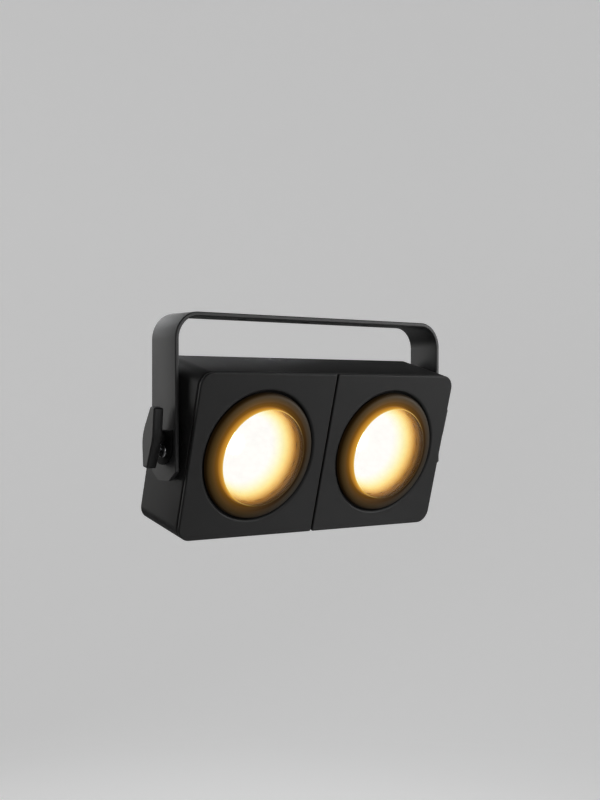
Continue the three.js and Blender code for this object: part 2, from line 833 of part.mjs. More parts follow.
function rearPanel() {
  const front = panelInside - cutOverrun;
  const back = panelOutside + cutOverrun;
  const hole = (radius, [across, up]) => movedTo(disc(radius, front, back, innerSides), across, up);
  const windowShape = roundedRect(displayWidth + seatGap, displayHeight + seatGap, displayCorner);
  const windowHole = movedTo(slab(windowShape, front, back), 0, displayRise);
  const plate = slab(roundedRect(boxWidth, boxHeight, boxCorner), panelInside, panelOutside);
  return cut(
    plate,
    windowHole,
    hole(eyeStemRadius + runningGap, [0, eyeRise]),
    ...Object.values(connectorPlaces()).map((place) => hole(connectorBodyRadius + seatGap, place)),
    ...buttonPlaces().map((place) => hole(buttonRadius + runningGap, place)),
    ...boxScrewPlaces().map((place) => hole(panelScrewRadius + runningGap, place)),
  );
}

function panelScrew() {
  const headBack = panelSeat + panelScrewHeadHeight;
  const head = disc(panelScrewHeadRadius, panelSeat, headBack, screwSides);
  const tip = boxBack - panelScrewLength + seatGap;
  return join(head, disc(panelScrewRadius, tip, panelSeat + panelScrewHeadHeight / 2, screwSides));
}

function connector() {
  const flangeShape = roundedRect(connectorFlangeWidth, connectorFlangeHeight, connectorFlangeCorner);
  const flangeBack = panelSeat + connectorFlangeThickness;
  const collarBack = flangeBack + connectorCollarHeight;
  const flange = slab(flangeShape, panelSeat, flangeBack);
  const body = disc(connectorBodyRadius, panelInside - connectorBodyLength, collarBack, innerSides);
  const socket = disc(socketRadius, collarBack - socketDepth, collarBack + cutOverrun, innerSides);
  return cut(join(flange, body), socket);
}

function displayWindow() {
  const paneShape = roundedRect(displayWidth, displayHeight, displayCorner);
  const lipShape = roundedRect(displayWidth + displayLip * 2, displayHeight + displayLip * 2, displayCorner);
  const lip = slab(lipShape, displayLipFront, displayLipBack);
  return join(lip, slab(paneShape, displayLipFront, panelOutside));
}

function controlBoard() {
  const height = controlBoardTop - controlBoardBottom;
  const middle = (controlBoardTop + controlBoardBottom) / 2;
  const front = controlBoardBack - controlBoardThickness;
  const plateShape = roundedRect(controlBoardWidth, height, controlBoardCorner);
  const plate = movedTo(slab(plateShape, front, controlBoardBack), 0, middle);
  const root = controlBoardBack - controlBoardThickness / 2;
  const screenShape = roundedRect(displayWidth, displayHeight, displayCorner);
  const screen = movedTo(slab(screenShape, root, moduleBack), 0, displayRise);
  const switchTop = buttonFlangeFront - buttonTravel - seatGap;
  const switches = buttonPlaces().map(([across, up]) =>
    movedTo(disc(switchRadius, root, switchTop, screwSides), across, up));
  return join(plate, screen, ...switches);
}

function menuButton() {
  const flangeMiddle = buttonFlangeBack - buttonFlangeThickness / 2;
  const flange = disc(buttonFlangeRadius, buttonFlangeFront, buttonFlangeBack, screwSides);
  return join(flange, disc(buttonRadius, flangeMiddle, panelOutside + buttonProud, screwSides));
}

function safetyEye() {
  const baseBack = panelSeat + eyeBaseThickness;
  const base = disc(eyeBaseRadius, panelSeat, baseBack, innerSides);
  const stem = disc(eyeStemRadius, panelSeat - eyeStemLength, panelSeat + eyeBaseThickness / 2, screwSides);
  const loop = new THREE.TorusGeometry(eyeRingRadius, eyeRodRadius, eyeRodSides, eyeRingSides);
  loop.rotateY(Math.PI / 2);
  loop.translate(0, baseBack + eyeRingRadius, 0);
  return join(base, stem, loop);
}

function ventPlug() {
  const seat = headDepth + seatGap;
  const head = disc(ventHeadRadius, seat, seat + ventHeadHeight, hexSides);
  return join(head, disc(ventStemRadius, backWallInside, seat + ventHeadHeight / 2, screwSides));
}

// Assembly

function addPiece(parent, name, geometry, finish, across = 0, up = 0) {
  const mesh = new THREE.Mesh(closed(geometry), new THREE.MeshStandardMaterial(finishes[finish]));
  mesh.name = name;
  mesh.position.set(across, 0, up);
  parent.add(mesh);
  return mesh;
}

function addGroup(parent, x, y, z) {
  const group = new THREE.Group();
  group.position.set(x, y, z);
  parent.add(group);
  return group;
}

// Pieces on the pivot axis, in a group whose depth axis points out of that side.
function addPivotSide(parent, side, pieces) {
  const group = addGroup(parent, 0, 0, 0);
  group.rotation.z = (-side * Math.PI) / 2;
  pieces(group);
}

function addYoke(blinder) {
  addPiece(blinder, "yoke_bracket", yokeBracket(), "powderCoat");
  const pivot = addGroup(blinder, 0, 0, -pivotDrop);
  for (const [name, side, lean] of [["left", -1, leftWingLean], ["right", 1, rightWingLean]]) {
    addPivotSide(pivot, side, (group) => {
      addPiece(group, `${name}_lock_plate`, lockPlate(side), "blackPlate");
      addPiece(group, `${name}_lock_screw`, lockScrew(), "chrome", side * lockScrewShift, -lockScrewDrop);
      const knob = addPiece(group, `${name}_tilt_knob`, tiltKnob(), "mouldedBlack");
      knob.rotation.y = side * radians(lean);
      addPiece(group, `${name}_knob_stud`, knobStud(), "steel");
    });
  }
}

function addPod(face, name, side) {
  const pod = addGroup(face, 0, 0, 0);
  pod.rotation.y = side > 0 ? 0 : Math.PI;
  addPiece(pod, `${name}_front_cover`, frontCover(), "powderCoat");
  addPiece(pod, `${name}_bezel_ring`, bezelRing(), "bezelBlack", podMiddle);
  addPiece(pod, `${name}_lens`, lens(), "lens", podMiddle);
  addPiece(pod, `${name}_lens_gasket`, lensGasket(), "rubber", podMiddle);
  addPiece(pod, `${name}_lens_holder`, lensHolder(), "blackPlate", podMiddle);
  addPiece(pod, `${name}_reflector`, reflector(), "reflector", podMiddle);
  addPiece(pod, `${name}_led_emitter`, ledEmitter(), "emitter", podMiddle);
  addPiece(pod, `${name}_led_board`, ledBoard(), "aluminium", podMiddle);
  addPiece(pod, `${name}_heat_sink`, heatSink(), "anodised", podMiddle);
  addPiece(pod, `${name}_led_lead`, ledLead(), "rubber");
}

function addConnectorBox(face) {
  const connectorFinish = {
    power_inlet: "bluePlastic",
    power_outlet: "greyPlastic",
    data_inlet: "mouldedBlack",
    data_outlet: "mouldedBlack",
  };
  addPiece(face, "connector_box", connectorBox(), "powderCoat");
  addPiece(face, "rear_panel", rearPanel(), "powderCoat");
  addPiece(face, "control_board", controlBoard(), "circuit");
  addPiece(face, "display_window", displayWindow(), "display", 0, displayRise);
  addPiece(face, "safety_eye", safetyEye(), "steel", 0, eyeRise);
  Object.entries(connectorPlaces()).forEach(([name, [across, up]]) => {
    addPiece(face, name, connector(), connectorFinish[name], across, up);
  });
  buttonPlaces().forEach(([across, up], index) => {
    addPiece(face, `menu_button_${index + 1}`, menuButton(), "rubber", across, up);
  });
  boxScrewPlaces().forEach(([across, up], index) => {
    addPiece(face, `rear_panel_screw_${index + 1}`, panelScrew(), "steel", across, up);
  });
}

function addHead(blinder) {
  const tilt = addGroup(blinder, 0, 0, -pivotDrop);
  tilt.rotation.x = radians(headTilt);
  for (const [name, side] of [["left", -1], ["right", 1]]) {
    addPivotSide(tilt, side, (group) => {
      addPiece(group, `${name}_pivot_boss`, pivotBoss(), "steel");
      addPiece(group, `${name}_friction_washer`, frictionWasher(), "blackPlate");
    });
  }
  const face = addGroup(tilt, 0, -pivotBehindFace, -pivotAboveMiddle);
  addPiece(face, "main_housing", mainHousing(), "powderCoat");
  addPiece(face, "cover_gasket", coverGasket(), "rubber");
  addPod(face, "left", -1);
  addPod(face, "right", 1);
  addPiece(face, "led_driver", ledDriver(), "aluminium");
  addPiece(face, "vent_plug", ventPlug(), "blackPlate", ventColumn, ventRise);
  addConnectorBox(face);
}

const blinder = new THREE.Group();
addYoke(blinder);
addHead(blinder);

export default blinder;
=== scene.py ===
# Audience blinder light: its finishes, and finer pieces in place of its plain ones.
# Metres, in the part's own frame: X across, Y to the back, Z up, origin in the yoke's clamp hole.
import json
import math

import bmesh
import bpy
from mathutils import Matrix, Vector


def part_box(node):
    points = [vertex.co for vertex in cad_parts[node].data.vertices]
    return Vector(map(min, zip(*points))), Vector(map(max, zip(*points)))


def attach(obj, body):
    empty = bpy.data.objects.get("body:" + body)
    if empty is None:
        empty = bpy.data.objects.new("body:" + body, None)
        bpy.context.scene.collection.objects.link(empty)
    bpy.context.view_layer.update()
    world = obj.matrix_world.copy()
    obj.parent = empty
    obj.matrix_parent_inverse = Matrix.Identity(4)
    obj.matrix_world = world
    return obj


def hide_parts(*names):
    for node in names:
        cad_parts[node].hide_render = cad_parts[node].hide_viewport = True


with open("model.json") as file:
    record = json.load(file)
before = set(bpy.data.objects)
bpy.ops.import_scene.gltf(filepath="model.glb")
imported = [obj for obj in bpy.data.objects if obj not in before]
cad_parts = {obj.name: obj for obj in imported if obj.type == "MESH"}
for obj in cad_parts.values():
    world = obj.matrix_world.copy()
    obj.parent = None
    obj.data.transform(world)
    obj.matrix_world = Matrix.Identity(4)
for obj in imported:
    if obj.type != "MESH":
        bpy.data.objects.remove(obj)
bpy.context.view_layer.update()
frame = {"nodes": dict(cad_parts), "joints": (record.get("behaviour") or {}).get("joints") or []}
scene = bpy.context.scene
nodes = frame["nodes"]
mm = 0.001
fullTurn = 2 * math.pi
quarterTurn = math.pi / 2
bothSides = ("left", "right")
smallSides, stubSides, hexagonSides = 48, 32, 6  # of turned pieces
over, farOver = 1 * mm, 5 * mm  # that a cutter reaches past the surface
print("frame loaded:", len(nodes), "nodes")

# The head's own frame: origin on the pivot axis, Y along the lens axes to the back
joints = {joint["name"]: joint for joint in frame["joints"]}
pivot = Vector(joints["head_tilt"]["pos_m"])
pressAxis = joints["button_1_press"]["axis"]
headTilt = math.atan2(-pressAxis[2], -pressAxis[1])
partFrame = Matrix.Identity(4)
headFrame = Matrix.Translation(pivot) @ Matrix.Rotation(headTilt, 4, "X")


def boxIn(space, item):  # lowest and highest corner of a plain piece, seen in another frame
    turn = space.inverted()
    points = [turn @ v.co for v in nodes[item].data.vertices]
    low = Vector([min(p[axis] for p in points) for axis in range(3)])
    high = Vector([max(p[axis] for p in points) for axis in range(3)])
    return low, high


def middleOf(space, item):
    low, high = boxIn(space, item)
    return (low + high) / 2


def podFrame(side):  # origin on the lens axis, in the plane of the covers' front
    coverLow, _ = boxIn(headFrame, f"{side}_front_cover")
    lens = middleOf(headFrame, f"{side}_lens")
    return headFrame @ Matrix.Translation((lens.x, coverLow.y, lens.z))


def pivotFrame(side):  # origin on the pivot axis in the yoke's middle, Y out of that side
    turn = quarterTurn if side == "left" else -quarterTurn
    return Matrix.Translation(pivot) @ Matrix.Rotation(turn, 4, "Z")


# Frame of the head's front: origin in its middle, in the plane of the covers' front, Y to the back
faceLow, faceHigh = boxIn(headFrame, "left_front_cover")
faceFrame = headFrame @ Matrix.Translation((0, faceLow.y, (faceLow.z + faceHigh.z) / 2))


def centred(item, space=faceFrame):  # frame on the piece's own middle line, and its box
    low, high = boxIn(space, item)
    middle = (low + high) / 2
    return space @ Matrix.Translation((middle.x, 0, middle.z)), low, high


# Camera, at the place that fits the photograph
cameraSettings = {
    "place": (-1.0347, -1.2585, -0.1018),
    "heading": -39.19,  # degrees, turned to the right of +Y
    "focalPixels": 1303,  # for an image 800 pixels high
    "imageHeight": 800,
    "sensor": 36,  # millimetres, along the image's height
}


def makeCamera(s):
    data = bpy.data.cameras.new("photoCamera")
    data.sensor_fit = "VERTICAL"
    data.sensor_height = s["sensor"]
    data.lens = s["sensor"] * s["focalPixels"] / s["imageHeight"]
    camera = bpy.data.objects.new("photoCamera", data)
    camera.location = s["place"]
    camera.rotation_euler = (quarterTurn, 0, math.radians(s["heading"]))
    scene.collection.objects.link(camera)
    scene.camera = camera


makeCamera(cameraSettings)


# Mesh tools
def show(name, mesh, space=partFrame):
    piece = bpy.data.objects.new(name, mesh)
    scene.collection.objects.link(piece)
    piece.matrix_world = space
    return piece


def arc(across, up, radius, start, end, steps):
    angles = [math.radians(start + (end - start) * i / steps) for i in range(steps + 1)]
    return [(across + radius * math.cos(a), up + radius * math.sin(a)) for a in angles]


def roundHole(across, up, radius, sides=48):
    return arc(across, up, radius, 0, 360, sides)[:-1]


def roundedRect(width, height, radius, across=0, up=0, steps=8):
    points = []
    for corner, (sx, sy) in enumerate([(1, -1), (1, 1), (-1, 1), (-1, -1)]):
        cx = across + sx * (width / 2 - radius)
        cy = up + sy * (height / 2 - radius)
        points += arc(cx, cy, radius, 90 * corner - 90, 90 * corner, steps)
    return points


def boxOutline(low, high, corner, less=0):
    # the box seen along Y, about its own middle line, smaller by so much at each edge
    return roundedRect(high.x - low.x - 2 * less, high.z - low.z - 2 * less, corner)


meshSettings = {
    "reach": 1e-6, "least": 1e-7,  # of merged corners and of edges that are left
    "flat": 0.99999,  # how far a cap's direction is along Y, at least
    "onAxis": 1e-9, "plateAngle": 32, "turnedAngle": 36, "cutterEdge": 0.01 * mm,
}


def weld(mesh, smoothAngle=meshSettings["plateAngle"], s=meshSettings):
    # merges the seams, turns faces out and keeps the flat caps crisp beside their rounded edges
    bm = bmesh.new()
    bm.from_mesh(mesh)
    bmesh.ops.remove_doubles(bm, verts=bm.verts, dist=s["reach"])
    bmesh.ops.dissolve_degenerate(bm, edges=bm.edges, dist=s["least"])
    bmesh.ops.recalc_face_normals(bm, faces=bm.faces)
    for face in bm.faces:
        face.smooth = True
    for edge in bm.edges:
        if len(edge.link_faces) == 2:
            flats = [abs(face.normal.y) > s["flat"] for face in edge.link_faces]
            edge.smooth = edge.calc_face_angle() < math.radians(smoothAngle) and flats[0] == flats[1]
    bm.to_mesh(mesh)
    bm.free()
    return mesh


def evaluated(piece):
    bpy.context.view_layer.update()
    return bpy.data.meshes.new_from_object(piece.evaluated_get(bpy.context.evaluated_depsgraph_get()))


def plate(name, outline, front, back, edgeRound, space=partFrame, holes=(), steps=3):
    # a flat curve of across and up points, filled, made thick along Y, with rounded edges
    curve = bpy.data.curves.new(name, "CURVE")
    curve.dimensions = "2D"
    curve.fill_mode = "BOTH"
    curve.extrude = (back - front) / 2 - edgeRound
    curve.bevel_depth = edgeRound
    curve.bevel_resolution = steps
    curve.offset = -edgeRound
    for loop in [outline, *holes]:
        spline = curve.splines.new("POLY")
        spline.points.add(len(loop) - 1)
        spline.use_cyclic_u = True
        for point, (across, up) in zip(spline.points, loop):
            point.co = (across, up, 0, 1)
    source = bpy.data.objects.new(name, curve)
    scene.collection.objects.link(source)
    mesh = evaluated(source)
    bpy.data.objects.remove(source)
    mesh.transform(Matrix.Translation((0, (front + back) / 2, 0)) @ Matrix.Rotation(quarterTurn, 4, "X"))
    return show(name, weld(mesh), space)


def cutter(outline, front, back, space):
    return plate("cutter", outline, front, back, meshSettings["cutterEdge"], space)


def turned(name, profile, sides, space, closed=True):
    # a profile of radius and depth pairs, turned about Y
    bm = bmesh.new()
    rings = []
    for radius, depth in profile:
        if radius < meshSettings["onAxis"]:
            rings.append([bm.verts.new((0, depth, 0))])
            continue
        angles = [fullTurn * i / sides for i in range(sides)]
        rings.append([bm.verts.new((radius * math.cos(a), depth, radius * math.sin(a))) for a in angles])
    following = rings[1:] + rings[:1] if closed else rings[1:]
    for near, far in zip(rings, following):
        if len(near) == 1 and len(far) == 1:
            continue
        for i in range(sides):
            j = (i + 1) % sides
            corners = [near[i % len(near)], near[j % len(near)], far[j % len(far)], far[i % len(far)]]
            bm.faces.new(list(dict.fromkeys(corners)))
    mesh = bpy.data.meshes.new(name)
    bm.to_mesh(mesh)
    bm.free()
    return show(name, weld(mesh, meshSettings["turnedAngle"]), space)


def solid(name, profile, sides, space):  # turned, and closed down to the axis at both ends
    ends = (0, profile[0][1]), (0, profile[-1][1])
    return turned(name, [ends[0], *profile, ends[1]], sides, space, closed=False)


def rod(name, radius, front, back, sides, space):
    return solid(name, [(radius, front), (radius, back)], sides, space)


def combine(piece, tools, operation="DIFFERENCE"):
    for tool in tools:
        cut = piece.modifiers.new("cut", "BOOLEAN")
        cut.operation = operation
        cut.solver = "EXACT"
        cut.object = tool
    mesh = evaluated(piece)
    piece.modifiers.clear()
    piece.data = weld(mesh)
    for tool in tools:
        bpy.data.objects.remove(tool)


def joined(piece, parts):
    # one mesh of several made in the same frame; the faces of each part take the next material
    bm = bmesh.new()
    bm.from_mesh(piece.data)
    for index, part in enumerate(parts, 1):
        first = len(bm.faces)
        bm.from_mesh(part.data)
        bm.faces.ensure_lookup_table()
        for face in bm.faces[first:]:
            face.material_index = index
        bpy.data.objects.remove(part)
    bm.to_mesh(piece.data)
    bm.free()


finish = {}


def finished(piece, plain, slot, *looks, body="head"):
    # rides on its body in place of the plain piece; face material 0 takes the first look, 1 the second
    kept = [face.material_index for face in piece.data.polygons]
    piece.data.materials.clear()
    for look in looks:
        piece.data.materials.append(finish[look])
    piece.data.polygons.foreach_set("material_index", kept)
    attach(piece, body)
    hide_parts(plain)


# Node tools
def wire(tree, made, inputs):  # each input takes a link or a plain value
    for key, value in inputs.items():
        if isinstance(value, bpy.types.NodeSocket):
            tree.links.new(value, made.inputs[key])
        else:
            made.inputs[key].default_value = value


def node(tree, kind, inputs, **settings):
    made = tree.nodes.new("ShaderNode" + kind)
    for key, value in settings.items():
        setattr(made, key, value)
    wire(tree, made, inputs)
    return made


def maths(tree, operation, a, b=0.0, clamp=False):
    return node(tree, "Math", {0: a, 1: b}, operation=operation, use_clamp=clamp).outputs[0]


def remap(tree, value, low, high, toLow=0.0, toHigh=1.0):
    inputs = {0: value, 1: low, 2: high, 3: toLow, 4: toHigh}
    return node(tree, "MapRange", inputs, clamp=True).outputs[0]


def blend(tree, factor, a, b):
    return node(tree, "Mix", {0: factor, 6: a, 7: b}, data_type="RGBA").outputs[2]


def objectPlace(tree):
    return node(tree, "TexCoord", {}).outputs["Object"]


def noise(tree, place, scale, detail):
    return node(tree, "TexNoise", {"Vector": place, "Scale": scale, "Detail": detail}).outputs[0]


def cells(tree, place, scale, distance="EUCLIDEAN"):
    inputs = {"Vector": place, "Scale": scale}
    return node(tree, "TexVoronoi", inputs, distance=distance).outputs["Distance"]


def swing(tree, value, amount):  # turns 0 to 1 into minus to plus half of the amount
    return maths(tree, "MULTIPLY", maths(tree, "SUBTRACT", value, 0.5), amount)


def scaled(tree, tone, share):
    return node(tree, "VectorMath", {0: tone, "Scale": share}, operation="SCALE").outputs[0]


def bump(tree, height, strength, depth):
    inputs = {"Strength": strength, "Distance": depth, "Height": height}
    return node(tree, "Bump", inputs).outputs[0]


def group(name, inputs, outputs):
    tree = bpy.data.node_groups.new(name, "ShaderNodeTree")
    for title, (kind, value) in inputs.items():
        socket = tree.interface.new_socket(title, in_out="INPUT", socket_type=kind)
        socket.default_value = value
    for title, kind in outputs.items():
        tree.interface.new_socket(title, in_out="OUTPUT", socket_type=kind)
    return tree, tree.nodes.new("NodeGroupInput").outputs, tree.nodes.new("NodeGroupOutput")


def placedGroup(tree, made, inputs):
    return node(tree, "Group", inputs, node_tree=made).outputs


number, colour, vector = "NodeSocketFloat", "NodeSocketColor", "NodeSocketVector"

# Effects that several finishes share
effectSettings = {
    "peelDetail": 2.0, "driftScale": 14.0, "driftDetail": 4.0, "speckHeight": 0.35,
    "edgeSamples": 4, "edgeTurn": (0.01, 0.22), "patchDetail": 3.0, "patches": (0.35, 0.62, 0.35, 1.0),
    "lineScale": 90.0, "lineDetail": 5.0, "lineShade": (0.3, 0.7, 0.82, 1.12),
}


def makeCoatGrain(s):
    # fine orange peel and specks of a sprayed or moulded skin, with a slow drift of shade
    inputs = {"Color": (colour, (0.02, 0.02, 0.02, 1)), "Grain": (number, 900), "Drift": (number, 0.12),
              "Roughness": (number, 0.6), "Spread": (number, 0.08)}
    tree, given, out = group("coatGrain", inputs, {"Color": colour, "Roughness": number, "Height": number})
    place = objectPlace(tree)
    peel = noise(tree, place, given["Grain"], s["peelDetail"])
    slow = noise(tree, place, s["driftScale"], s["driftDetail"])
    change = maths(tree, "ADD", swing(tree, slow, given["Drift"]), swing(tree, peel, given["Drift"]))
    specks = maths(tree, "MULTIPLY", cells(tree, place, given["Grain"]), s["speckHeight"])
    wire(tree, out, {
        "Color": scaled(tree, given["Color"], maths(tree, "ADD", change, 1.0)),
        "Roughness": maths(tree, "ADD", given["Roughness"], swing(tree, slow, given["Spread"])),
        "Height": maths(tree, "ADD", peel, specks),
    })
    return tree


def makeEdgeRubAndSheen(s):
    # where the surface turns, the skin is made a little lighter and smoother: partly rubbed wear, partly a
    # painted highlight along the edges
    inputs = {"Width": (number, 0.0012), "Strength": (number, 1.0), "Breakup": (number, 60)}
    tree, given, out = group("edgeRubAndSheen", inputs, {"Mask": number})
    soft = node(tree, "Bevel", {"Radius": given["Width"]}, samples=s["edgeSamples"])
    plain = node(tree, "NewGeometry", {}).outputs["Normal"]
    turn = node(tree, "VectorMath", {0: soft.outputs[0], 1: plain}, operation="DOT_PRODUCT")
    edge = remap(tree, maths(tree, "SUBTRACT", 1.0, turn.outputs["Value"]), *s["edgeTurn"])
    patches = noise(tree, objectPlace(tree), given["Breakup"], s["patchDetail"])
    worn = maths(tree, "MULTIPLY", edge, remap(tree, patches, *s["patches"]))
    wire(tree, out, {"Mask": maths(tree, "MULTIPLY", worn, given["Strength"], clamp=True)})
    return tree


def makeStreaks(s):
    # fine parallel lines of brushed or turned metal, along one axis
    inputs = {"Stretch": (vector, (1, 1, 60)), "Roughness": (number, 0.3), "Spread": (number, 0.2)}
    tree, given, out = group("streaks", inputs, {"Shade": number, "Roughness": number, "Height": number})
    inputs = {0: objectPlace(tree), 1: given["Stretch"]}
    drawn = node(tree, "VectorMath", inputs, operation="MULTIPLY").outputs[0]
    lines = noise(tree, drawn, s["lineScale"], s["lineDetail"])
    wire(tree, out, {
        "Shade": remap(tree, lines, *s["lineShade"]),
        "Roughness": maths(tree, "ADD", given["Roughness"], swing(tree, lines, given["Spread"])),
        "Height": lines,
    })
    return tree


coatGrain = makeCoatGrain(effectSettings)
edgeRubAndSheen = makeEdgeRubAndSheen(effectSettings)
streaks = makeStreaks(effectSettings)


def newMaterial(name):
    material = bpy.data.materials.new(name)
    material.use_nodes = True
    finish[name] = material
    return material.node_tree, material.node_tree.nodes["Principled BSDF"]


# Coats and metals
coatDefaults = {
    "metallic": 0.0, "gloss": 0.45, "grain": 1800, "drift": 0.2, "roughness": 0.42, "spread": 0.10,
    "rubAndSheenWidth": 0.0006, "rubAndSheen": 0.5, "rubAndSheenColour": (0.03, 0.03, 0.03), "rubRoughness": -0.12,
    "bump": 0.2, "depth": 0.0002,
}
coatSettings = {  # where each coat differs from the defaults
    "yokeCoat": {
        "colour": (0.022, 0.022, 0.0225), "grain": 1100, "drift": 0.22, "roughness": 0.43,
        "rubAndSheenWidth": 0.0011, "rubAndSheen": 0.8, "rubAndSheenColour": (0.060, 0.060, 0.062), "bump": 0.25, "depth": 0.0003,
    },
    "headCoat": {
        "colour": (0.017, 0.0168, 0.0168), "gloss": 0.30, "grain": 1100, "drift": 0.22, "roughness": 0.45,
        "rubAndSheenWidth": 0.0012, "rubAndSheen": 0.8, "rubAndSheenColour": (0.050, 0.050, 0.052), "bump": 0.25, "depth": 0.0003,
    },
    "mouldedBlack": {
        "colour": (0.010, 0.010, 0.010), "gloss": 0.50, "grain": 1900, "drift": 0.18, "roughness": 0.40,
        "rubAndSheenWidth": 0.0008, "rubAndSheen": 0.6, "rubAndSheenColour": (0.030, 0.030, 0.031),
    },
    # near-black matte; on the pivot bosses and washers it also stands in for shade beside the yoke's arms
    "plateBlackAndShade": {
        "colour": (0.004, 0.004, 0.004), "gloss": 0.12, "grain": 1500, "roughness": 0.60, "spread": 0.12,
    },
    "softRubber": {
        "colour": (0.010, 0.010, 0.010), "gloss": 0.2, "grain": 2400, "drift": 0.25, "roughness": 0.85,
        "rubAndSheenWidth": 0.0005, "rubAndSheen": 0.3, "bump": 0.35,
    },
    "blueShell": {"colour": (0.012, 0.070, 0.300), "drift": 0.15, "rubAndSheenColour": (0.05, 0.13, 0.40)},
    "greyShell": {"colour": (0.260, 0.270, 0.280), "drift": 0.12, "rubAndSheenColour": (0.36, 0.37, 0.38)},
    "anodisedBlack": {
        "colour": (0.012, 0.012, 0.013), "metallic": 0.35, "gloss": 0.4, "grain": 900, "drift": 0.3,
        "roughness": 0.48, "spread": 0.14, "rubAndSheenWidth": 0.0005, "rubAndSheen": 0.7,
        "rubAndSheenColour": (0.07, 0.07, 0.072), "bump": 0.15,
    },
}
metalDepth = 0.0001  # of the streaks
metalSettings = {
    "turnedSteel": {
        "colour": (0.52, 0.53, 0.54), "stretch": (1, 30, 1), "roughness": 0.30, "spread": 0.25, "bump": 0.2,
    },
    "chromed": {
        "colour": (0.42, 0.42, 0.43), "stretch": (1, 12, 1), "roughness": 0.22, "spread": 0.08, "bump": 0.05,
    },
    "bareAluminium": {
        "colour": (0.62, 0.63, 0.64), "stretch": (30, 1, 1), "roughness": 0.38, "spread": 0.2, "bump": 0.2,
    },
}


def makeCoat(name, s):
    # a sprayed or moulded skin: grain, slow drift of shade, and edges that are lighter partly from rubbed
    # wear and partly as a painted highlight
    tree, shader = newMaterial(name)
    grain = placedGroup(tree, coatGrain, {
        "Color": (*s["colour"], 1), "Grain": s["grain"], "Drift": s["drift"],
        "Roughness": s["roughness"], "Spread": s["spread"],
    })
    # the lighter edge colour is partly rubbed wear and partly a painted highlight
    rubAndSheen = placedGroup(tree, edgeRubAndSheen, {"Width": s["rubAndSheenWidth"], "Strength": s["rubAndSheen"]})
    smoother = maths(tree, "MULTIPLY", rubAndSheen["Mask"], s["rubRoughness"])
    wire(tree, shader, {
        "Base Color": blend(tree, rubAndSheen["Mask"], grain["Color"], (*s["rubAndSheenColour"], 1)),
        "Metallic": s["metallic"], "Specular IOR Level": s["gloss"],
        "Roughness": maths(tree, "ADD", grain["Roughness"], smoother),
        "Normal": bump(tree, grain["Height"], s["bump"], s["depth"]),
    })


def makeMetal(name, s):
    tree, shader = newMaterial(name)
    lines = placedGroup(tree, streaks, {
        "Stretch": s["stretch"], "Roughness": s["roughness"], "Spread": s["spread"],
    })
    wire(tree, shader, {
        "Base Color": scaled(tree, s["colour"], lines["Shade"]),
        "Metallic": 1.0,
        "Roughness": lines["Roughness"],
        "Normal": bump(tree, lines["Height"], s["bump"], metalDepth),
    })


for name, settings in coatSettings.items():
    makeCoat(name, coatDefaults | settings)
for name, settings in metalSettings.items():
    makeMetal(name, settings)


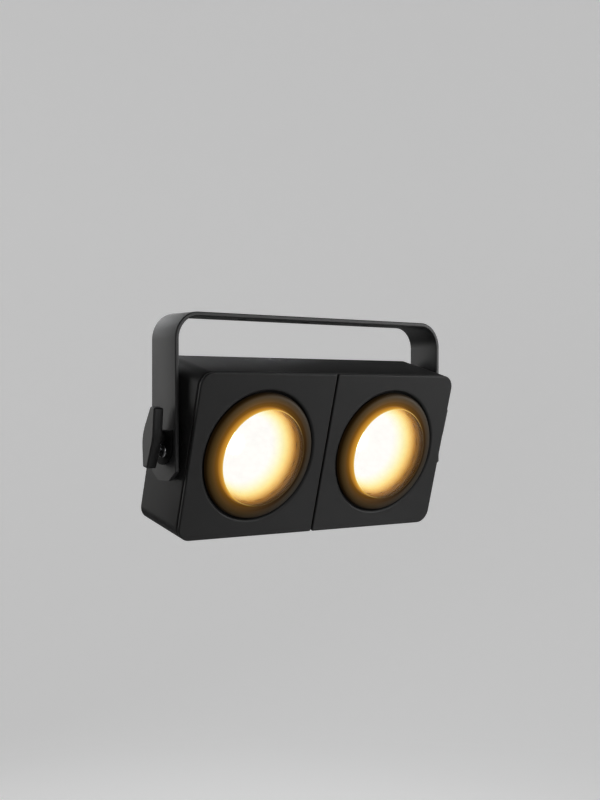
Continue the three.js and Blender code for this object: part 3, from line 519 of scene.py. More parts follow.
# Warm light of the lenses, with light and shade painted into it: the glow is painted dimmer on one side, and
# the bezel carries a painted spill of that glow and a painted crest highlight. Depth is measured from the
# plane of the covers' front. A pair named Sides says between which places about the lens axis a share
# changes: 1 is at the bearing, -1 opposite.
glowSettings = {
    "bowlStart": -9 * mm, "bowlEnd": 30 * mm, "bowlStrength": 1.04,
    "bowlLift": 1.2,  # the glow reaches further forward above and below, by this times the height squared
    "liftLeast": 0.3,  # share of that reach at the lower right, where the glow is painted dimmer as painted shade
    "liftSides": (-0.9, 0.0),
    "bowlColours": [  # share of the depth range, colour
        (0.000, (0.027, 0.014, 0.005)), (0.128, (0.054, 0.024, 0.005)), (0.195, (0.076, 0.033, 0.006)),
        (0.210, (0.089, 0.038, 0.007)), (0.226, (0.184, 0.091, 0.023)), (0.287, (0.227, 0.102, 0.020)),
        (0.326, (0.296, 0.130, 0.022)), (0.364, (0.413, 0.191, 0.038)), (0.400, (0.578, 0.296, 0.068)),
        (0.438, (0.723, 0.407, 0.107)), (0.513, (0.922, 0.597, 0.181)), (0.585, (0.982, 0.776, 0.296)),
        (0.672, (0.991, 0.880, 0.434)), (0.777, (0.991, 0.965, 0.665)), (0.872, (1.000, 0.991, 0.831)),
        (1.000, (1.000, 1.000, 1.000)),
    ],
    "dimples": 140.0, "dimpleShade": (0.0, 0.8, 1.0, 0.94), "dimpleBump": (0.2, 0.5 * mm),  # strength, depth
    "wallStart": -0.5 * mm, "wallEnd": -8.9 * mm,
    "wallColours": [
        (0.000, (0.216, 0.093, 0.014)), (0.179, (0.305, 0.136, 0.018)), (0.417, (0.434, 0.191, 0.022)),
        (0.655, (0.527, 0.242, 0.027)), (0.893, (0.610, 0.314, 0.042)), (1.000, (0.745, 0.479, 0.098)),
    ],
    "wallDark": 0.07,  # share of the wall's light that is left on the side away from its bright one: painted shade of that side
    "wallSides": (-0.55, 0.15), "frost": (700.0, 2.0), "frostBump": (0.2, 0.2 * mm),
    "paintedSpillColours": [  # painted spill of the lens's light on the bezel: share of the way from the bezel's inner edge to its outer one, colour
        (0.000, (0.215, 0.090, 0.008)), (0.145, (0.160, 0.071, 0.009)), (0.333, (0.112, 0.049, 0.006)),
        (0.479, (0.086, 0.040, 0.005)), (0.588, (0.065, 0.034, 0.005)), (0.685, (0.051, 0.027, 0.005)),
        (0.770, (0.038, 0.020, 0.004)), (0.842, (0.026, 0.014, 0.003)), (0.915, (0.010, 0.005, 0.001)),
        (1.000, (0.001, 0.001, 0.001)),
    ],
    "paintedCrestColours": [  # painted crest highlight, with painted shade in the groove and on the outer flank, as the ring's colour over the same way
        (0.000, (0.004, 0.004, 0.003)), (0.270, (0.006, 0.005, 0.004)), (0.380, (0.038, 0.035, 0.029)),
        (0.760, (0.042, 0.039, 0.034)), (0.860, (0.006, 0.005, 0.004)), (1.000, (0.002, 0.002, 0.002)),
    ],
    "paintedLightInner": 61.5 * mm, "paintedLightOuter": 78 * mm,
    "paintedLightBearing": 150,  # side of the painted light and shade, in degrees about the lens axis, from the right over the top
    "paintedSpillLeast": 0.12,  # share of the painted spill that is left on the side opposite
    # the sky pair and bearing give the side where the ring's painted crest highlight is brightest
    "paintedSpillSides": (-1.0, 0.85), "paintedCrestBearing": 30, "paintedCrestLeast": 0.25, "paintedCrestSides": (-0.7, 0.2),
    "bezelGrain": {"Grain": 1600.0, "Drift": 0.15, "Roughness": 0.40, "Spread": 0.08},
    "bezelBump": (0.12, 0.2 * mm), "ripple": (55.0, 1.0), "rippleBump": (0.06, 1 * mm),
}


def fillRamp(tree, value, colours):
    ramp = node(tree, "ValToRGB", {0: value})
    while len(ramp.color_ramp.elements) < len(colours):
        ramp.color_ramp.elements.new(0.5)
    for element, (share, tone) in zip(ramp.color_ramp.elements, colours):
        element.position = share
        element.color = (*tone, 1)
    return ramp.outputs[0]


def facing(tree, place, radius, bearing):
    # 1 at that bearing about the lens axis, -1 opposite
    turn = math.radians(bearing)
    toward = (math.cos(turn), 0, math.sin(turn))
    along = node(tree, "VectorMath", {0: place, 1: toward}, operation="DOT_PRODUCT")
    return maths(tree, "DIVIDE", along.outputs["Value"], radius)


def axisRadius(tree, place):
    flat = node(tree, "VectorMath", {0: place, 1: (1, 0, 1)}, operation="MULTIPLY")
    return node(tree, "VectorMath", {0: flat.outputs[0]}, operation="LENGTH").outputs["Value"]


def depthRamp(tree, place, start, end, colours, lift=0.0):
    depth = maths(tree, "ADD", node(tree, "SeparateXYZ", {0: place}).outputs[1], lift)
    return fillRamp(tree, remap(tree, depth, start, end), colours)


def makeGlowBowl(s):
    tree, shader = newMaterial("glowBowl")
    place = objectPlace(tree)
    height = node(tree, "SeparateXYZ", {0: place}).outputs[2]
    side = facing(tree, place, axisRadius(tree, place), s["paintedLightBearing"])
    # the glow's reach is painted shorter toward the lower right, as painted shade
    reach = remap(tree, side, *s["liftSides"], s["bowlLift"] * s["liftLeast"], s["bowlLift"])
    lift = maths(tree, "MULTIPLY", maths(tree, "MULTIPLY", height, height), reach)
    warm = depthRamp(tree, place, s["bowlStart"], s["bowlEnd"], s["bowlColours"], lift)
    dimples = cells(tree, place, s["dimples"])
    wire(tree, shader, {
        "Base Color": (0.008, 0.004, 0.001, 1), "Roughness": 0.5, "Specular IOR Level": 0.02,
        "Emission Color": scaled(tree, warm, remap(tree, dimples, *s["dimpleShade"])),
        "Emission Strength": s["bowlStrength"], "Normal": bump(tree, dimples, *s["dimpleBump"]),
    })


def makeLensWall(s):
    # frosted amber side of the lens, lit from within, with painted shade on the side away from its bright
    # one
    tree, shader = newMaterial("lensWall")
    place = objectPlace(tree)
    warm = depthRamp(tree, place, s["wallStart"], s["wallEnd"], s["wallColours"])
    side = facing(tree, place, axisRadius(tree, place), s["paintedLightBearing"])
    # the wall's glow is painted dimmer away from the bearing, as painted shade
    share = remap(tree, side, *s["wallSides"], s["wallDark"], 1.0)
    wire(tree, shader, {
        "Base Color": (0.05, 0.025, 0.006, 1), "Roughness": 0.4, "Specular IOR Level": 0.3,
        "Emission Color": scaled(tree, warm, share), "Emission Strength": 1.0,
        "Normal": bump(tree, noise(tree, place, *s["frost"]), *s["frostBump"]),
    })


def makeLensGlass(s):
    tree, shader = newMaterial("lensGlass")
    ripple = noise(tree, objectPlace(tree), *s["ripple"])
    wire(tree, shader, {
        "Base Color": (1.0, 0.985, 0.95, 1), "Roughness": 0.22, "IOR": 1.13, "Transmission Weight": 1.0,
        "Normal": bump(tree, ripple, *s["rippleBump"]),
    })


def makeBezelWithPaintedLight(s):
    # smooth black ring with the lens's warm light painted along its inner slope as a painted spill, and a
    # painted crest highlight with painted shade in the groove and on the outer flank, brighter on one side
    tree, shader = newMaterial("bezelBlack")
    place = objectPlace(tree)
    radius = axisRadius(tree, place)
    way = remap(tree, radius, s["paintedLightInner"], s["paintedLightOuter"])
    paintedCrestShare = remap(tree, facing(tree, place, radius, s["paintedCrestBearing"]), *s["paintedCrestSides"], s["paintedCrestLeast"], 1.0)
    side = facing(tree, place, radius, s["paintedLightBearing"])
    paintedSpillShare = remap(tree, side, *s["paintedSpillSides"], s["paintedSpillLeast"], 1.0)
    # painted crest highlight and painted shade, lighter on one side
    tone = scaled(tree, fillRamp(tree, way, s["paintedCrestColours"]), paintedCrestShare)
    grain = placedGroup(tree, coatGrain, {"Color": tone, **s["bezelGrain"]})
    # the Emission Color is the painted spill of the lens's glow
    wire(tree, shader, {
        "Base Color": grain["Color"], "Roughness": grain["Roughness"], "Specular IOR Level": 0.08,
        "Emission Color": scaled(tree, fillRamp(tree, way, s["paintedSpillColours"]), paintedSpillShare),
        "Emission Strength": 1.0, "Normal": bump(tree, grain["Height"], *s["bezelBump"]),
    })


# Finishes of the electronics: cells of two tones
cellSettings = {
    "phosphor": {
        "scale": 420.0, "shape": "EUCLIDEAN", "change": (0.1, 0.5), "roughness": 0.6, "glow": 2.5,
        "tones": ((1.0, 0.95, 0.75, 1), (1.0, 0.90, 0.60, 1)),
    },
    "circuitGreen": {
        "scale": 260.0, "shape": "MANHATTAN", "change": (0.42, 0.5), "roughness": 0.4,
        "tones": ((0.010, 0.075, 0.026, 1), (0.03, 0.15, 0.06, 1)),
    },
    "displayGlass": {
        "scale": 1400.0, "shape": "CHEBYCHEV", "change": (0.3, 0.5),
        "tones": ((0.004, 0.009, 0.018, 1), (0.002, 0.003, 0.006, 1)),
        "smear": (60.0, 3.0), "smearRoughness": (0.4, 0.7, 0.04, 0.16),
    },
}


def makeCells(name, s):
    tree, shader = newMaterial(name)
    place = objectPlace(tree)
    tone = blend(tree, remap(tree, cells(tree, place, s["scale"], s["shape"]), *s["change"]), *s["tones"])
    wire(tree, shader, {"Base Color": tone})
    if "glow" in s:
        wire(tree, shader, {"Emission Color": tone, "Emission Strength": s["glow"]})
    if "smear" in s:
        smear = noise(tree, place, *s["smear"])
        wire(tree, shader, {"Roughness": remap(tree, smear, *s["smearRoughness"])})
    else:
        wire(tree, shader, {"Roughness": s["roughness"]})


for makeGlow in (makeGlowBowl, makeLensWall, makeLensGlass, makeBezelWithPaintedLight):
    makeGlow(glowSettings)
for name, settings in cellSettings.items():
    makeCells(name, settings)
print("finishes made:", len(finish))


# Yoke: a flat strap bent twice, with holes in its bar and cut corners on its arms
yokeSettings = {
    "bend": 32 * mm, "strap": 5 * mm, "edgeRound": 1.2 * mm, "cutReach": 14 * mm, "cutDrop": 11 * mm,
    "bendSteps": 20, "clampHole": 6.5 * mm, "sideHole": 5.5 * mm, "sideSpacing": 99 * mm, "sink": 0.5 * mm,
}


def drill(radius, front, back, sink, space):
    # a cutter for a through hole with a small countersink at both faces
    wide = radius + sink + over
    profile = [(wide, front - over), (radius, front + sink)]
    profile += [(radius, back - sink), (wide, back + over)]
    return solid("drill", profile, smallSides, space)


def makeYoke(s):
    low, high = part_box("yoke_bracket")
    half, bottom, bend, strap, steps = high.x, low.z, s["bend"], s["strap"], s["bendSteps"]
    inner, middle = bend - strap, half - bend
    outline = [(-half, bottom)]
    outline += arc(-middle, -bend, bend, 180, 90, steps) + arc(middle, -bend, bend, 90, 0, steps)
    outline += [(half, bottom), (half - strap, bottom)]
    outline += arc(middle, -bend, inner, 0, 90, steps) + arc(-middle, -bend, inner, 90, 180, steps)
    outline += [(-half + strap, bottom)]
    yoke = plate("yoke", outline, low.y, high.y, s["edgeRound"])
    tools = []
    for side in (-1, 1):
        edge, top = side * high.y, bottom + s["cutDrop"]
        inward, outward = edge - side * s["cutReach"], edge + side * farOver
        wedge = [(inward, bottom), (edge, top), (outward, top), (outward, bottom - farOver),
                 (inward, bottom - farOver)]
        across = Matrix.Rotation(quarterTurn, 4, "Z")
        tools.append(cutter(wedge, -half - farOver, half + farOver, across))
    upright = Matrix.Rotation(quarterTurn, 4, "X")
    spacing = s["sideSpacing"]
    for across, radius in ((0, s["clampHole"]), (-spacing, s["sideHole"]), (spacing, s["sideHole"])):
        tools.append(drill(radius, -strap, 0, s["sink"], Matrix.Translation((across, 0, 0)) @ upright))
    combine(yoke, tools)
    finished(yoke, "yoke_bracket", "coated_steel", "yokeCoat", body="yoke")


makeYoke(yokeSettings)
print("yoke made")


# Tilt pivot: winged knobs, lock plates and lock screws
wingSettings = {
    "length": 71 * mm, "width": 25 * mm, "endWidth": 10 * mm, "forward": 2.5 * mm, "thickness": 13 * mm,
    "edgeRound": 2.2 * mm, "edgeSteps": 5, "hubRadius": 7.5 * mm, "cornerRound": 2.2 * mm,
    "middleRound": 45 * mm,
    "lean": {"left": 13, "right": 24},  # degrees of the wings from upright
}
lockPlateSettings = {"bore": 5.2 * mm, "screwHole": 4.2 * mm, "edgeRound": 0.35 * mm, "steps": 32}
lockScrewSettings = {
    "head": 3 * mm, "shank": 4 * mm, "shoulder": 1.4 * mm, "bevel": 0.5 * mm, "rim": 1.7 * mm,
    "socket": 3.9 * mm, "socketDepth": 2.2 * mm,
}


def roundedCorners(points, radii, steps=6):
    rounded = []
    count = len(points)
    for i, (point, radius) in enumerate(zip(points, radii)):
        here = Vector(point)
        before = (Vector(points[i - 1]) - here).normalized()
        after = (Vector(points[(i + 1) % count]) - here).normalized()
        halfAngle = before.angle(after) / 2
        reach = radius / math.tan(halfAngle)
        centre = here + (before + after).normalized() * (radius / math.sin(halfAngle))
        first = here + before * reach - centre
        sweep = first.angle_signed(here + after * reach - centre)
        for step in range(steps + 1):
            turn = Matrix.Rotation(-sweep * step / steps, 2)
            rounded.append(tuple(centre + turn @ first))
    return rounded


def makeKnob(side, s):
    space = pivotFrame(side)
    low, high = boxIn(space, f"{side}_tilt_knob")
    inner = high.y - s["thickness"]
    sign = -1 if side == "left" else 1
    leaning = space @ Matrix.Rotation(math.radians(sign * s["lean"][side]), 4, "Y")
    half, wide, end = s["length"] / 2, s["width"] / 2, s["endWidth"] / 2
    left, right = sign * s["forward"] - end, sign * s["forward"] + end
    corners = [(left, -half), (right, -half), (wide, 0), (right, half), (left, half), (-wide, 0)]
    outline = roundedCorners(corners, [s["cornerRound"], s["cornerRound"], s["middleRound"]] * 2)
    knob = plate(f"{side}_wing_knob", outline, inner, high.y, s["edgeRound"], leaning, steps=s["edgeSteps"])
    hub = rod("hub", s["hubRadius"], low.y, inner + s["edgeRound"], smallSides, leaning)
    combine(knob, [hub], "UNION")
    finished(knob, f"{side}_tilt_knob", "moulded_black", "mouldedBlack", body=f"{side}_knob")


def makeLockPlate(side, s):
    space = pivotFrame(side)
    low, high = boxIn(space, f"{side}_lock_plate")
    radius = (high.x - low.x) / 2
    outline = [(radius, high.z), (-radius, high.z)] + arc(0, low.z + radius, radius, 180, 360, s["steps"])
    screw = middleOf(space, f"{side}_lock_screw")
    holes = [roundHole(0, 0, s["bore"]), roundHole(screw.x, screw.z, s["screwHole"])]
    piece = plate(f"{side}_lock_washer", outline, low.y, high.y, s["edgeRound"], space, holes)
    finished(piece, f"{side}_lock_plate", "black_plate", "plateBlackAndShade", body="yoke")


def makeLockScrew(side, s):
    local, low, high = centred(f"{side}_lock_screw", pivotFrame(side))
    radius, seat, top = (high.x - low.x) / 2, high.y - s["head"], high.y
    profile = [(s["shank"], low.y), (s["shank"], seat), (radius, seat), (radius, top - s["shoulder"])]
    profile += [(radius - s["bevel"], top - s["bevel"]), (radius - s["rim"], top)]
    screw = solid(f"{side}_socket_screw", profile, smallSides, local)
    floor = top - s["socketDepth"]
    combine(screw, [rod("socket", s["socket"], floor, top + over, hexagonSides, local)])
    finished(screw, f"{side}_lock_screw", "chrome", "chromed", body="yoke")


for side in bothSides:
    makeKnob(side, wingSettings)
    makeLockPlate(side, lockPlateSettings)
    makeLockScrew(side, lockScrewSettings)
print("pivots made")


# Head casing: the housing shell and the two front covers
casingSettings = {
    "corner": 17 * mm, "cornerSteps": 14, "wall": 3 * mm, "edgeRound": 1.6 * mm, "edgeSteps": 4,
    "bossHole": 34.3 * mm, "ventHole": 4.7 * mm, "axleHole": 13.3 * mm,
    "wireHole": (30 * mm, 44 * mm, 6 * mm),  # width, height, corner
}
coverSettings = {
    "corner": 17 * mm, "cornerSteps": 14, "edgeRound": 1.5 * mm, "edgeSteps": 5, "seamCorner": 2.5 * mm,
    "seamSteps": 6, "openingRadius": 78.9 * mm, "openingRoll": 4.3 * mm, "rollSteps": 10,
    "rollSweep": (-86, -180), "openingSides": 128,
}


def makeHousing(s):
    low, high = boxIn(headFrame, "main_housing")
    width, height, middle = high.x - low.x, high.z - low.z, (low.z + high.z) / 2
    wall, corner, steps = s["wall"], s["corner"], s["cornerSteps"]
    outer = roundedRect(width, height, corner, 0, middle, steps)
    inner = roundedRect(width - 2 * wall, height - 2 * wall, corner - wall, 0, middle, steps)
    housing = plate("housing_shell", outer, low.y, high.y, s["edgeRound"], headFrame, steps=s["edgeSteps"])
    tools = [cutter(inner, low.y - farOver, high.y - wall, headFrame)]
    wireWidth, wireHeight, wireCorner = s["wireHole"]
    holes = [roundedRect(wireWidth, wireHeight, wireCorner, 0, middle)]
    for side in bothSides:
        holes.append(roundHole(middleOf(headFrame, f"{side}_lens").x, middle, s["bossHole"]))
    vent = middleOf(headFrame, "vent_plug")
    holes.append(roundHole(vent.x, vent.z, s["ventHole"]))
    for hole in holes:
        tools.append(cutter(hole, high.y - wall - over, high.y + over, headFrame))
    across = headFrame @ Matrix.Rotation(-quarterTurn, 4, "Z")
    tools.append(rod("axle", s["axleHole"], low.x - over, high.x + over, smallSides, across))
    combine(housing, tools)
    finished(housing, "main_housing", "coated_aluminium", "headCoat")


def makeCover(side, s):
    low, high = boxIn(headFrame, f"{side}_front_cover")
    across, middle = middleOf(headFrame, f"{side}_lens").x, (low.z + high.z) / 2
    outline = []
    for corner, (sx, sy) in enumerate([(1, -1), (1, 1), (-1, 1), (-1, -1)]):
        atSeam = (sx > 0) == (side == "left")
        radius, steps = (s["seamCorner"], s["seamSteps"]) if atSeam else (s["corner"], s["cornerSteps"])
        cx = high.x - radius if sx > 0 else low.x + radius
        cy = high.z - radius if sy > 0 else low.z + radius
        outline += arc(cx, cy, radius, 90 * corner - 90, 90 * corner, steps)
    cover = plate(f"{side}_cover", outline, low.y, high.y, s["edgeRound"], headFrame, steps=s["edgeSteps"])
    roll, radius = s["openingRoll"], s["openingRadius"]
    rolled = arc(radius + roll, roll, roll, *s["rollSweep"], s["rollSteps"])
    lip = [(r, low.y + depth) for r, depth in rolled]
    profile = [(lip[0][0], low.y - over), *lip, (radius, high.y + over)]
    local = headFrame @ Matrix.Translation((across, 0, middle))
    combine(cover, [solid("opening", profile, s["openingSides"], local)])
    finished(cover, f"{side}_front_cover", "coated_aluminium", "headCoat")


makeHousing(casingSettings)
for side in bothSides:
    makeCover(side, coverSettings)
print("casing made")


# Lens group of each pod, in its own frame: radius from the lens axis, depth from the covers' front
lensSettings = {
    "sides": 128, "foot": 60.2 * mm, "rim": 59.5 * mm, "rimWidth": 0.3 * mm, "rise": 8.9 * mm,
    "dome": 3.4 * mm, "edge": 0.9 * mm, "edgeSteps": 6, "glass": 1.2 * mm, "inner": 58.9 * mm,
    "flange": 64.5 * mm, "flangeRise": 0.5 * mm, "back": 3 * mm, "backInner": 57.3 * mm, "domeSteps": 16,
    "inward": 0.01 * mm,  # least turn to the axis of a face on the inside
}
bezelSettings = {
    "sides": 128, "outer": 76.9 * mm, "crest": 69.4 * mm, "inner": 61.5 * mm, "edgeRise": -0.6 * mm,
    "crestRise": 4.2 * mm, "lipRise": 2.2 * mm, "back": 3 * mm, "seat": 65 * mm, "lipDepth": 0.75 * mm,
    "steps": 12,
}
bowlSettings = {
    "sides": 128, "mouth": 57.9 * mm, "throat": 13.3 * mm, "front": 3.1 * mm, "back": 51.5 * mm,
    "wall": 0.6 * mm, "steps": 24,
}


def makeBezel(side, s):
    outerSpan, innerSpan = s["outer"] - s["crest"], s["crest"] - s["inner"]
    profile = [(s["seat"], s["back"]), (s["outer"], s["back"])]
    for i in range(s["steps"] + 1):
        a = quarterTurn * i / s["steps"]
        rise = s["edgeRise"] + (s["crestRise"] - s["edgeRise"]) * math.sin(a)
        profile.append((s["crest"] + outerSpan * math.cos(a), -rise))
    for i in range(1, s["steps"] + 1):
        share = i / s["steps"]
        rise = s["lipRise"] + (s["crestRise"] - s["lipRise"]) * math.cos(quarterTurn * share)
        profile.append((s["crest"] - innerSpan * share, -rise))
    profile += [(s["inner"], -s["lipDepth"]), (s["seat"], -s["lipDepth"])]
    ring = turned(f"{side}_bezel", profile, s["sides"], podFrame(side))
    finished(ring, f"{side}_bezel_ring", "bezel_black", "bezelBlack")


def domeLine(radius, rise, dome, steps):
    # radius and depth pairs from the axis out to the dome's edge
    sphere = (radius * radius + dome * dome) / (2 * dome)
    reach = [radius * i / steps for i in range(steps + 1)]
    return [(r, -rise - dome + sphere - math.sqrt(sphere * sphere - r * r)) for r in reach]


def makeLens(side, s):
    # a clear dome over a thin side wall, which stands on its flange
    space, sides, shoulder = podFrame(side), s["sides"], s["rim"] - s["edge"]
    wallTop = s["rise"] - s["edge"]
    profile = [(s["backInner"], s["back"]), (s["flange"], s["back"]), (s["flange"], -s["flangeRise"])]
    profile += [(s["foot"], -s["flangeRise"]), (s["rim"], -wallTop), (s["rim"] - s["rimWidth"], -wallTop)]
    profile += [(s["inner"], -s["flangeRise"])]
    lens = turned(f"{side}_lens_cap", profile, sides, space)
    front = domeLine(shoulder, s["rise"], s["dome"], s["domeSteps"])
    under = [(r, depth + s["glass"]) for r, depth in reversed(front)]
    edge = [(r, -rise) for r, rise in arc(shoulder, wallTop, s["edge"], 90, 0, s["edgeSteps"])[1:]]
    joined(lens, [turned("dome", front + edge + under, sides, space, closed=False)])
    wall, inside = 0, 2  # places of these looks
    for face in lens.data.polygons:
        across, up = face.center.x, face.center.z
        inward = face.normal.x * across + face.normal.z * up < -s["inward"]
        if face.material_index == wall and inward:
            face.material_index = inside
        elif math.hypot(across, up) > shoulder and not inward:
            face.material_index = wall
    finished(lens, f"{side}_lens", "lens", "lensWall", "lensGlass", "glowBowl")


def makeBowl(side, s):
    inside, outside = [], []
    for i in range(s["steps"] + 1):
        share = i / s["steps"]
        radius = math.sqrt(s["mouth"] ** 2 + (s["throat"] ** 2 - s["mouth"] ** 2) * share)
        depth = s["front"] + (s["back"] - s["front"]) * share
        inside.append((radius - s["wall"] * (1 - share), depth))
        outside.append((radius, min(depth + s["wall"] * share, s["back"])))
    bowl = turned(f"{side}_glow_bowl", inside + outside[::-1], s["sides"], podFrame(side))
    finished(bowl, f"{side}_reflector", "reflector", "glowBowl")


for side in bothSides:
    makeBezel(side, bezelSettings)
    makeLens(side, lensSettings)
    makeBowl(side, bowlSettings)
print("lens groups made")


# Heat sinks: a base plate with a boss through the housing and thin rounded fins
sinkSettings = {
    "corner": 4 * mm, "base": 6 * mm, "baseEdge": 0.9 * mm, "fins": 13, "finThick": 2.4 * mm,
    "finInset": 3 * mm, "finCorner": 1.1 * mm, "finSteps": 4, "finEdge": 0.8 * mm, "finLength": 25 * mm,
    "bossRadius": 34 * mm, "bossBevel": 0.6 * mm, "bossSides": 96,
}


def makeHeatSink(side, s):
    space, low, high = centred(f"{side}_heat_sink")
    baseBack = high.y - s["finLength"]
    baseFront, finRoot = baseBack - s["base"], baseBack - s["base"] / 2
    outline = boxOutline(low, high, s["corner"])
    sink = plate(f"{side}_finned_sink", outline, baseFront, baseBack, s["baseEdge"], space)
    added = []
    for i in range(s["fins"]):
        across = (high.x - low.x - 2 * s["finInset"] - s["finThick"]) * (i / (s["fins"] - 1) - 0.5)
        tall = high.z - low.z - 2 * s["finInset"]
        fin = roundedRect(s["finThick"], tall, s["finCorner"], across, steps=s["finSteps"])
        added.append(plate("fin", fin, finRoot, high.y, s["finEdge"], space))
    radius, bevel = s["bossRadius"], s["bossBevel"]
    profile = [(radius - bevel, low.y), (radius, low.y + bevel), (radius, finRoot)]
    added.append(solid("boss", profile, s["bossSides"], space))
    combine(sink, added, "UNION")
    finished(sink, f"{side}_heat_sink", "anodised", "anodisedBlack")


for side in bothSides:
    makeHeatSink(side, sinkSettings)
print("heat sinks made")


# Connector box: a tray with posts, closed by the rear panel
connectors = ("power_inlet", "power_outlet", "data_inlet", "data_outlet")
buttons = [f"menu_button_{i}" for i in range(1, 5)]
panelScrews = [f"rear_panel_screw_{i}" for i in range(1, 5)]
traySettings = {
    "corner": 6 * mm, "wall": 2.5 * mm, "edge": 0.7 * mm, "post": 4 * mm, "screwHole": 1.6 * mm,
    "panelEdge": 0.35 * mm, "connectorHole": 11.75 * mm, "buttonHole": 3.5 * mm, "eyeHole": 4.1 * mm,
    "windowGap": 0.12 * mm, "windowCorner": 2 * mm,
}
paneSettings = {
    "lip": 2 * mm,  # of the display's window, behind the panel
    "lipThick": 1.25 * mm, "lipEdge": 0.1 * mm, "edge": 0.25 * mm,
}


def makeTray(s):
    space, low, high = centred("connector_box")
    wall, outline = s["wall"], boxOutline(low, high, s["corner"])
    tray = plate("connector_tray", outline, low.y, high.y, s["edge"], space)
    inner = boxOutline(low, high, s["corner"] - wall, wall)
    wires = roundedRect(*casingSettings["wireHole"])
    combine(tray, [
        cutter(inner, low.y + wall, high.y + over, space),
        cutter(wires, low.y - over, low.y + wall + over, space),
    ])
    foot, hole, post = low.y + wall / 2, s["screwHole"], s["post"]
    profile = [(hole, foot), (post, foot), (post, high.y), (hole, high.y)]
    combine(tray, [turned("post", profile, stubSides, centred(item)[0]) for item in panelScrews], "UNION")
    finished(tray, "connector_box", "coated_aluminium", "headCoat")


def makeRearPanel(s):
    space, low, high = centred("rear_panel")
    radii = {item: s["connectorHole"] for item in connectors}
    radii |= {item: s["buttonHole"] for item in buttons}
    radii |= {item: s["screwHole"] for item in panelScrews}
    radii["safety_eye"] = s["eyeHole"]
    turn = space.inverted()
    holes = []
    for item, radius in radii.items():
        place = turn @ centred(item)[0].translation
        holes.append(roundHole(place.x, place.z, radius))
    windowLow, windowHigh = boxIn(space, "display_window")
    less = 2 * (paneSettings["lip"] - s["windowGap"])
    wide, tall = windowHigh.x - windowLow.x - less, windowHigh.z - windowLow.z - less
    middle = (windowLow + windowHigh) / 2
    holes.append(roundedRect(wide, tall, s["windowCorner"], middle.x, middle.z))
    outline = boxOutline(low, high, s["corner"])
    panel = plate("rear_plate", outline, low.y, high.y, s["panelEdge"], space, holes)
    finished(panel, "rear_panel", "coated_aluminium", "headCoat")


def makeDisplay(s):
    space, low, high = centred("display_window")
    lip, thick = s["lip"], s["lipThick"]
    pane = boxOutline(low, high, lip, lip)
    window = plate("display_pane", pane, low.y + thick / 2, high.y, s["edge"], space)
    rim = plate("lip", boxOutline(low, high, lip), low.y, low.y + thick, s["lipEdge"], space)
    combine(window, [rim], "UNION")
    finished(window, "display_window", "display", "displayGlass")


makeTray(traySettings)
makeRearPanel(traySettings)
makeDisplay(paneSettings)
print("connector box made")


# Connectors: a flange with two screws, a round body and what each kind has in its bore
connectorSettings = {
    "flangeCorner": 3 * mm, "flange": 2.5 * mm, "edge": 0.5 * mm, "collarRise": 3 * mm, "collar": 11.5 * mm,
    "bore": 9 * mm, "lipRound": 0.9 * mm, "lipSteps": 5, "socketDepth": 15 * mm, "sides": 64,
    "screwPlace": (10.3 * mm, 12.7 * mm), "screwRadius": 1.9 * mm, "screwRise": 0.8 * mm,
}
powerSettings = {  # across, along and corner of each small rectangle
    "core": 6.2 * mm, "coreDrop": 3 * mm, "coreBevel": 0.6 * mm,
    "key": (3 * mm, 2.4 * mm, 0.5 * mm), "keyDrop": 1.4 * mm, "keyEdge": 0.2 * mm, "keySink": 0.4 * mm,
    "keyBearing": {"power_inlet": 30, "power_outlet": 90},
    "slot": (1.3 * mm, 4.2 * mm, 0.3 * mm), "slotFloor": 2 * mm, "slotEdge": 0.05 * mm,
    "blade": (0.8 * mm, 3.4 * mm, 0.2 * mm), "bladeFloor": 2.1 * mm, "bladeDrop": 4 * mm,
    "bladeEdge": 0.1 * mm, "contactCircle": 3.3 * mm, "contactBearing": 90,
}
dataSettings = {
    "pinCircle": 4.6 * mm, "pinRadius": 1.15 * mm, "pinRoot": 0.5 * mm, "pinDrop": 3.2 * mm,
    "pinShoulder": 2.5 * mm, "pinTip": 2.3 * mm, "pinTaper": 0.6, "pinSides": 24, "pinBearing": 90,
    "insert": 8.7 * mm, "insertDrop": 1.8 * mm, "insertBevel": 0.5 * mm, "pinHole": 1.4 * mm,
    "holeBearing": 270, "holeEdge": 0.05 * mm,
    "tab": (8 * mm, 3.4 * mm, 1 * mm), "tabUp": 13.1 * mm, "tabRise": 1.2 * mm, "tabEdge": 0.3 * mm,
}
capSettings = {  # shares of a screw head's radius and rise
    "side": 0.35, "crown": (15, 35, 55), "top": 0.35, "socket": 0.42, "socketDepth": 0.6,
}


def capScrew(name, radius, seat, rise, space, shank=()):
    # a low rounded head with a hexagon socket, after the profile of its shank where it has one
    s, top = capSettings, seat + rise
    profile = [*shank, (radius, seat), (radius, seat + rise * s["side"])]
    for a in map(math.radians, s["crown"]):
        profile.append((radius * math.cos(a), seat + rise * (s["side"] + (1 - s["side"]) * math.sin(a))))
    screw = solid(name, [*profile, (radius * s["top"], top)], stubSides, space)
    floor = top - rise * s["socketDepth"]
    combine(screw, [rod("socket", radius * s["socket"], floor, top + over, hexagonSides, space)])
    return screw


def contactPlaces(circle, first):
    return arc(0, 0, circle, first, first + 360, 3)[:-1]


def contactPlates(shape, circle, first, front, back, edge, space):
    width, height, corner = shape
    return [plate("contact", roundedRect(width, height, corner, *place), front, back, edge, space)
            for place in contactPlaces(circle, first)]


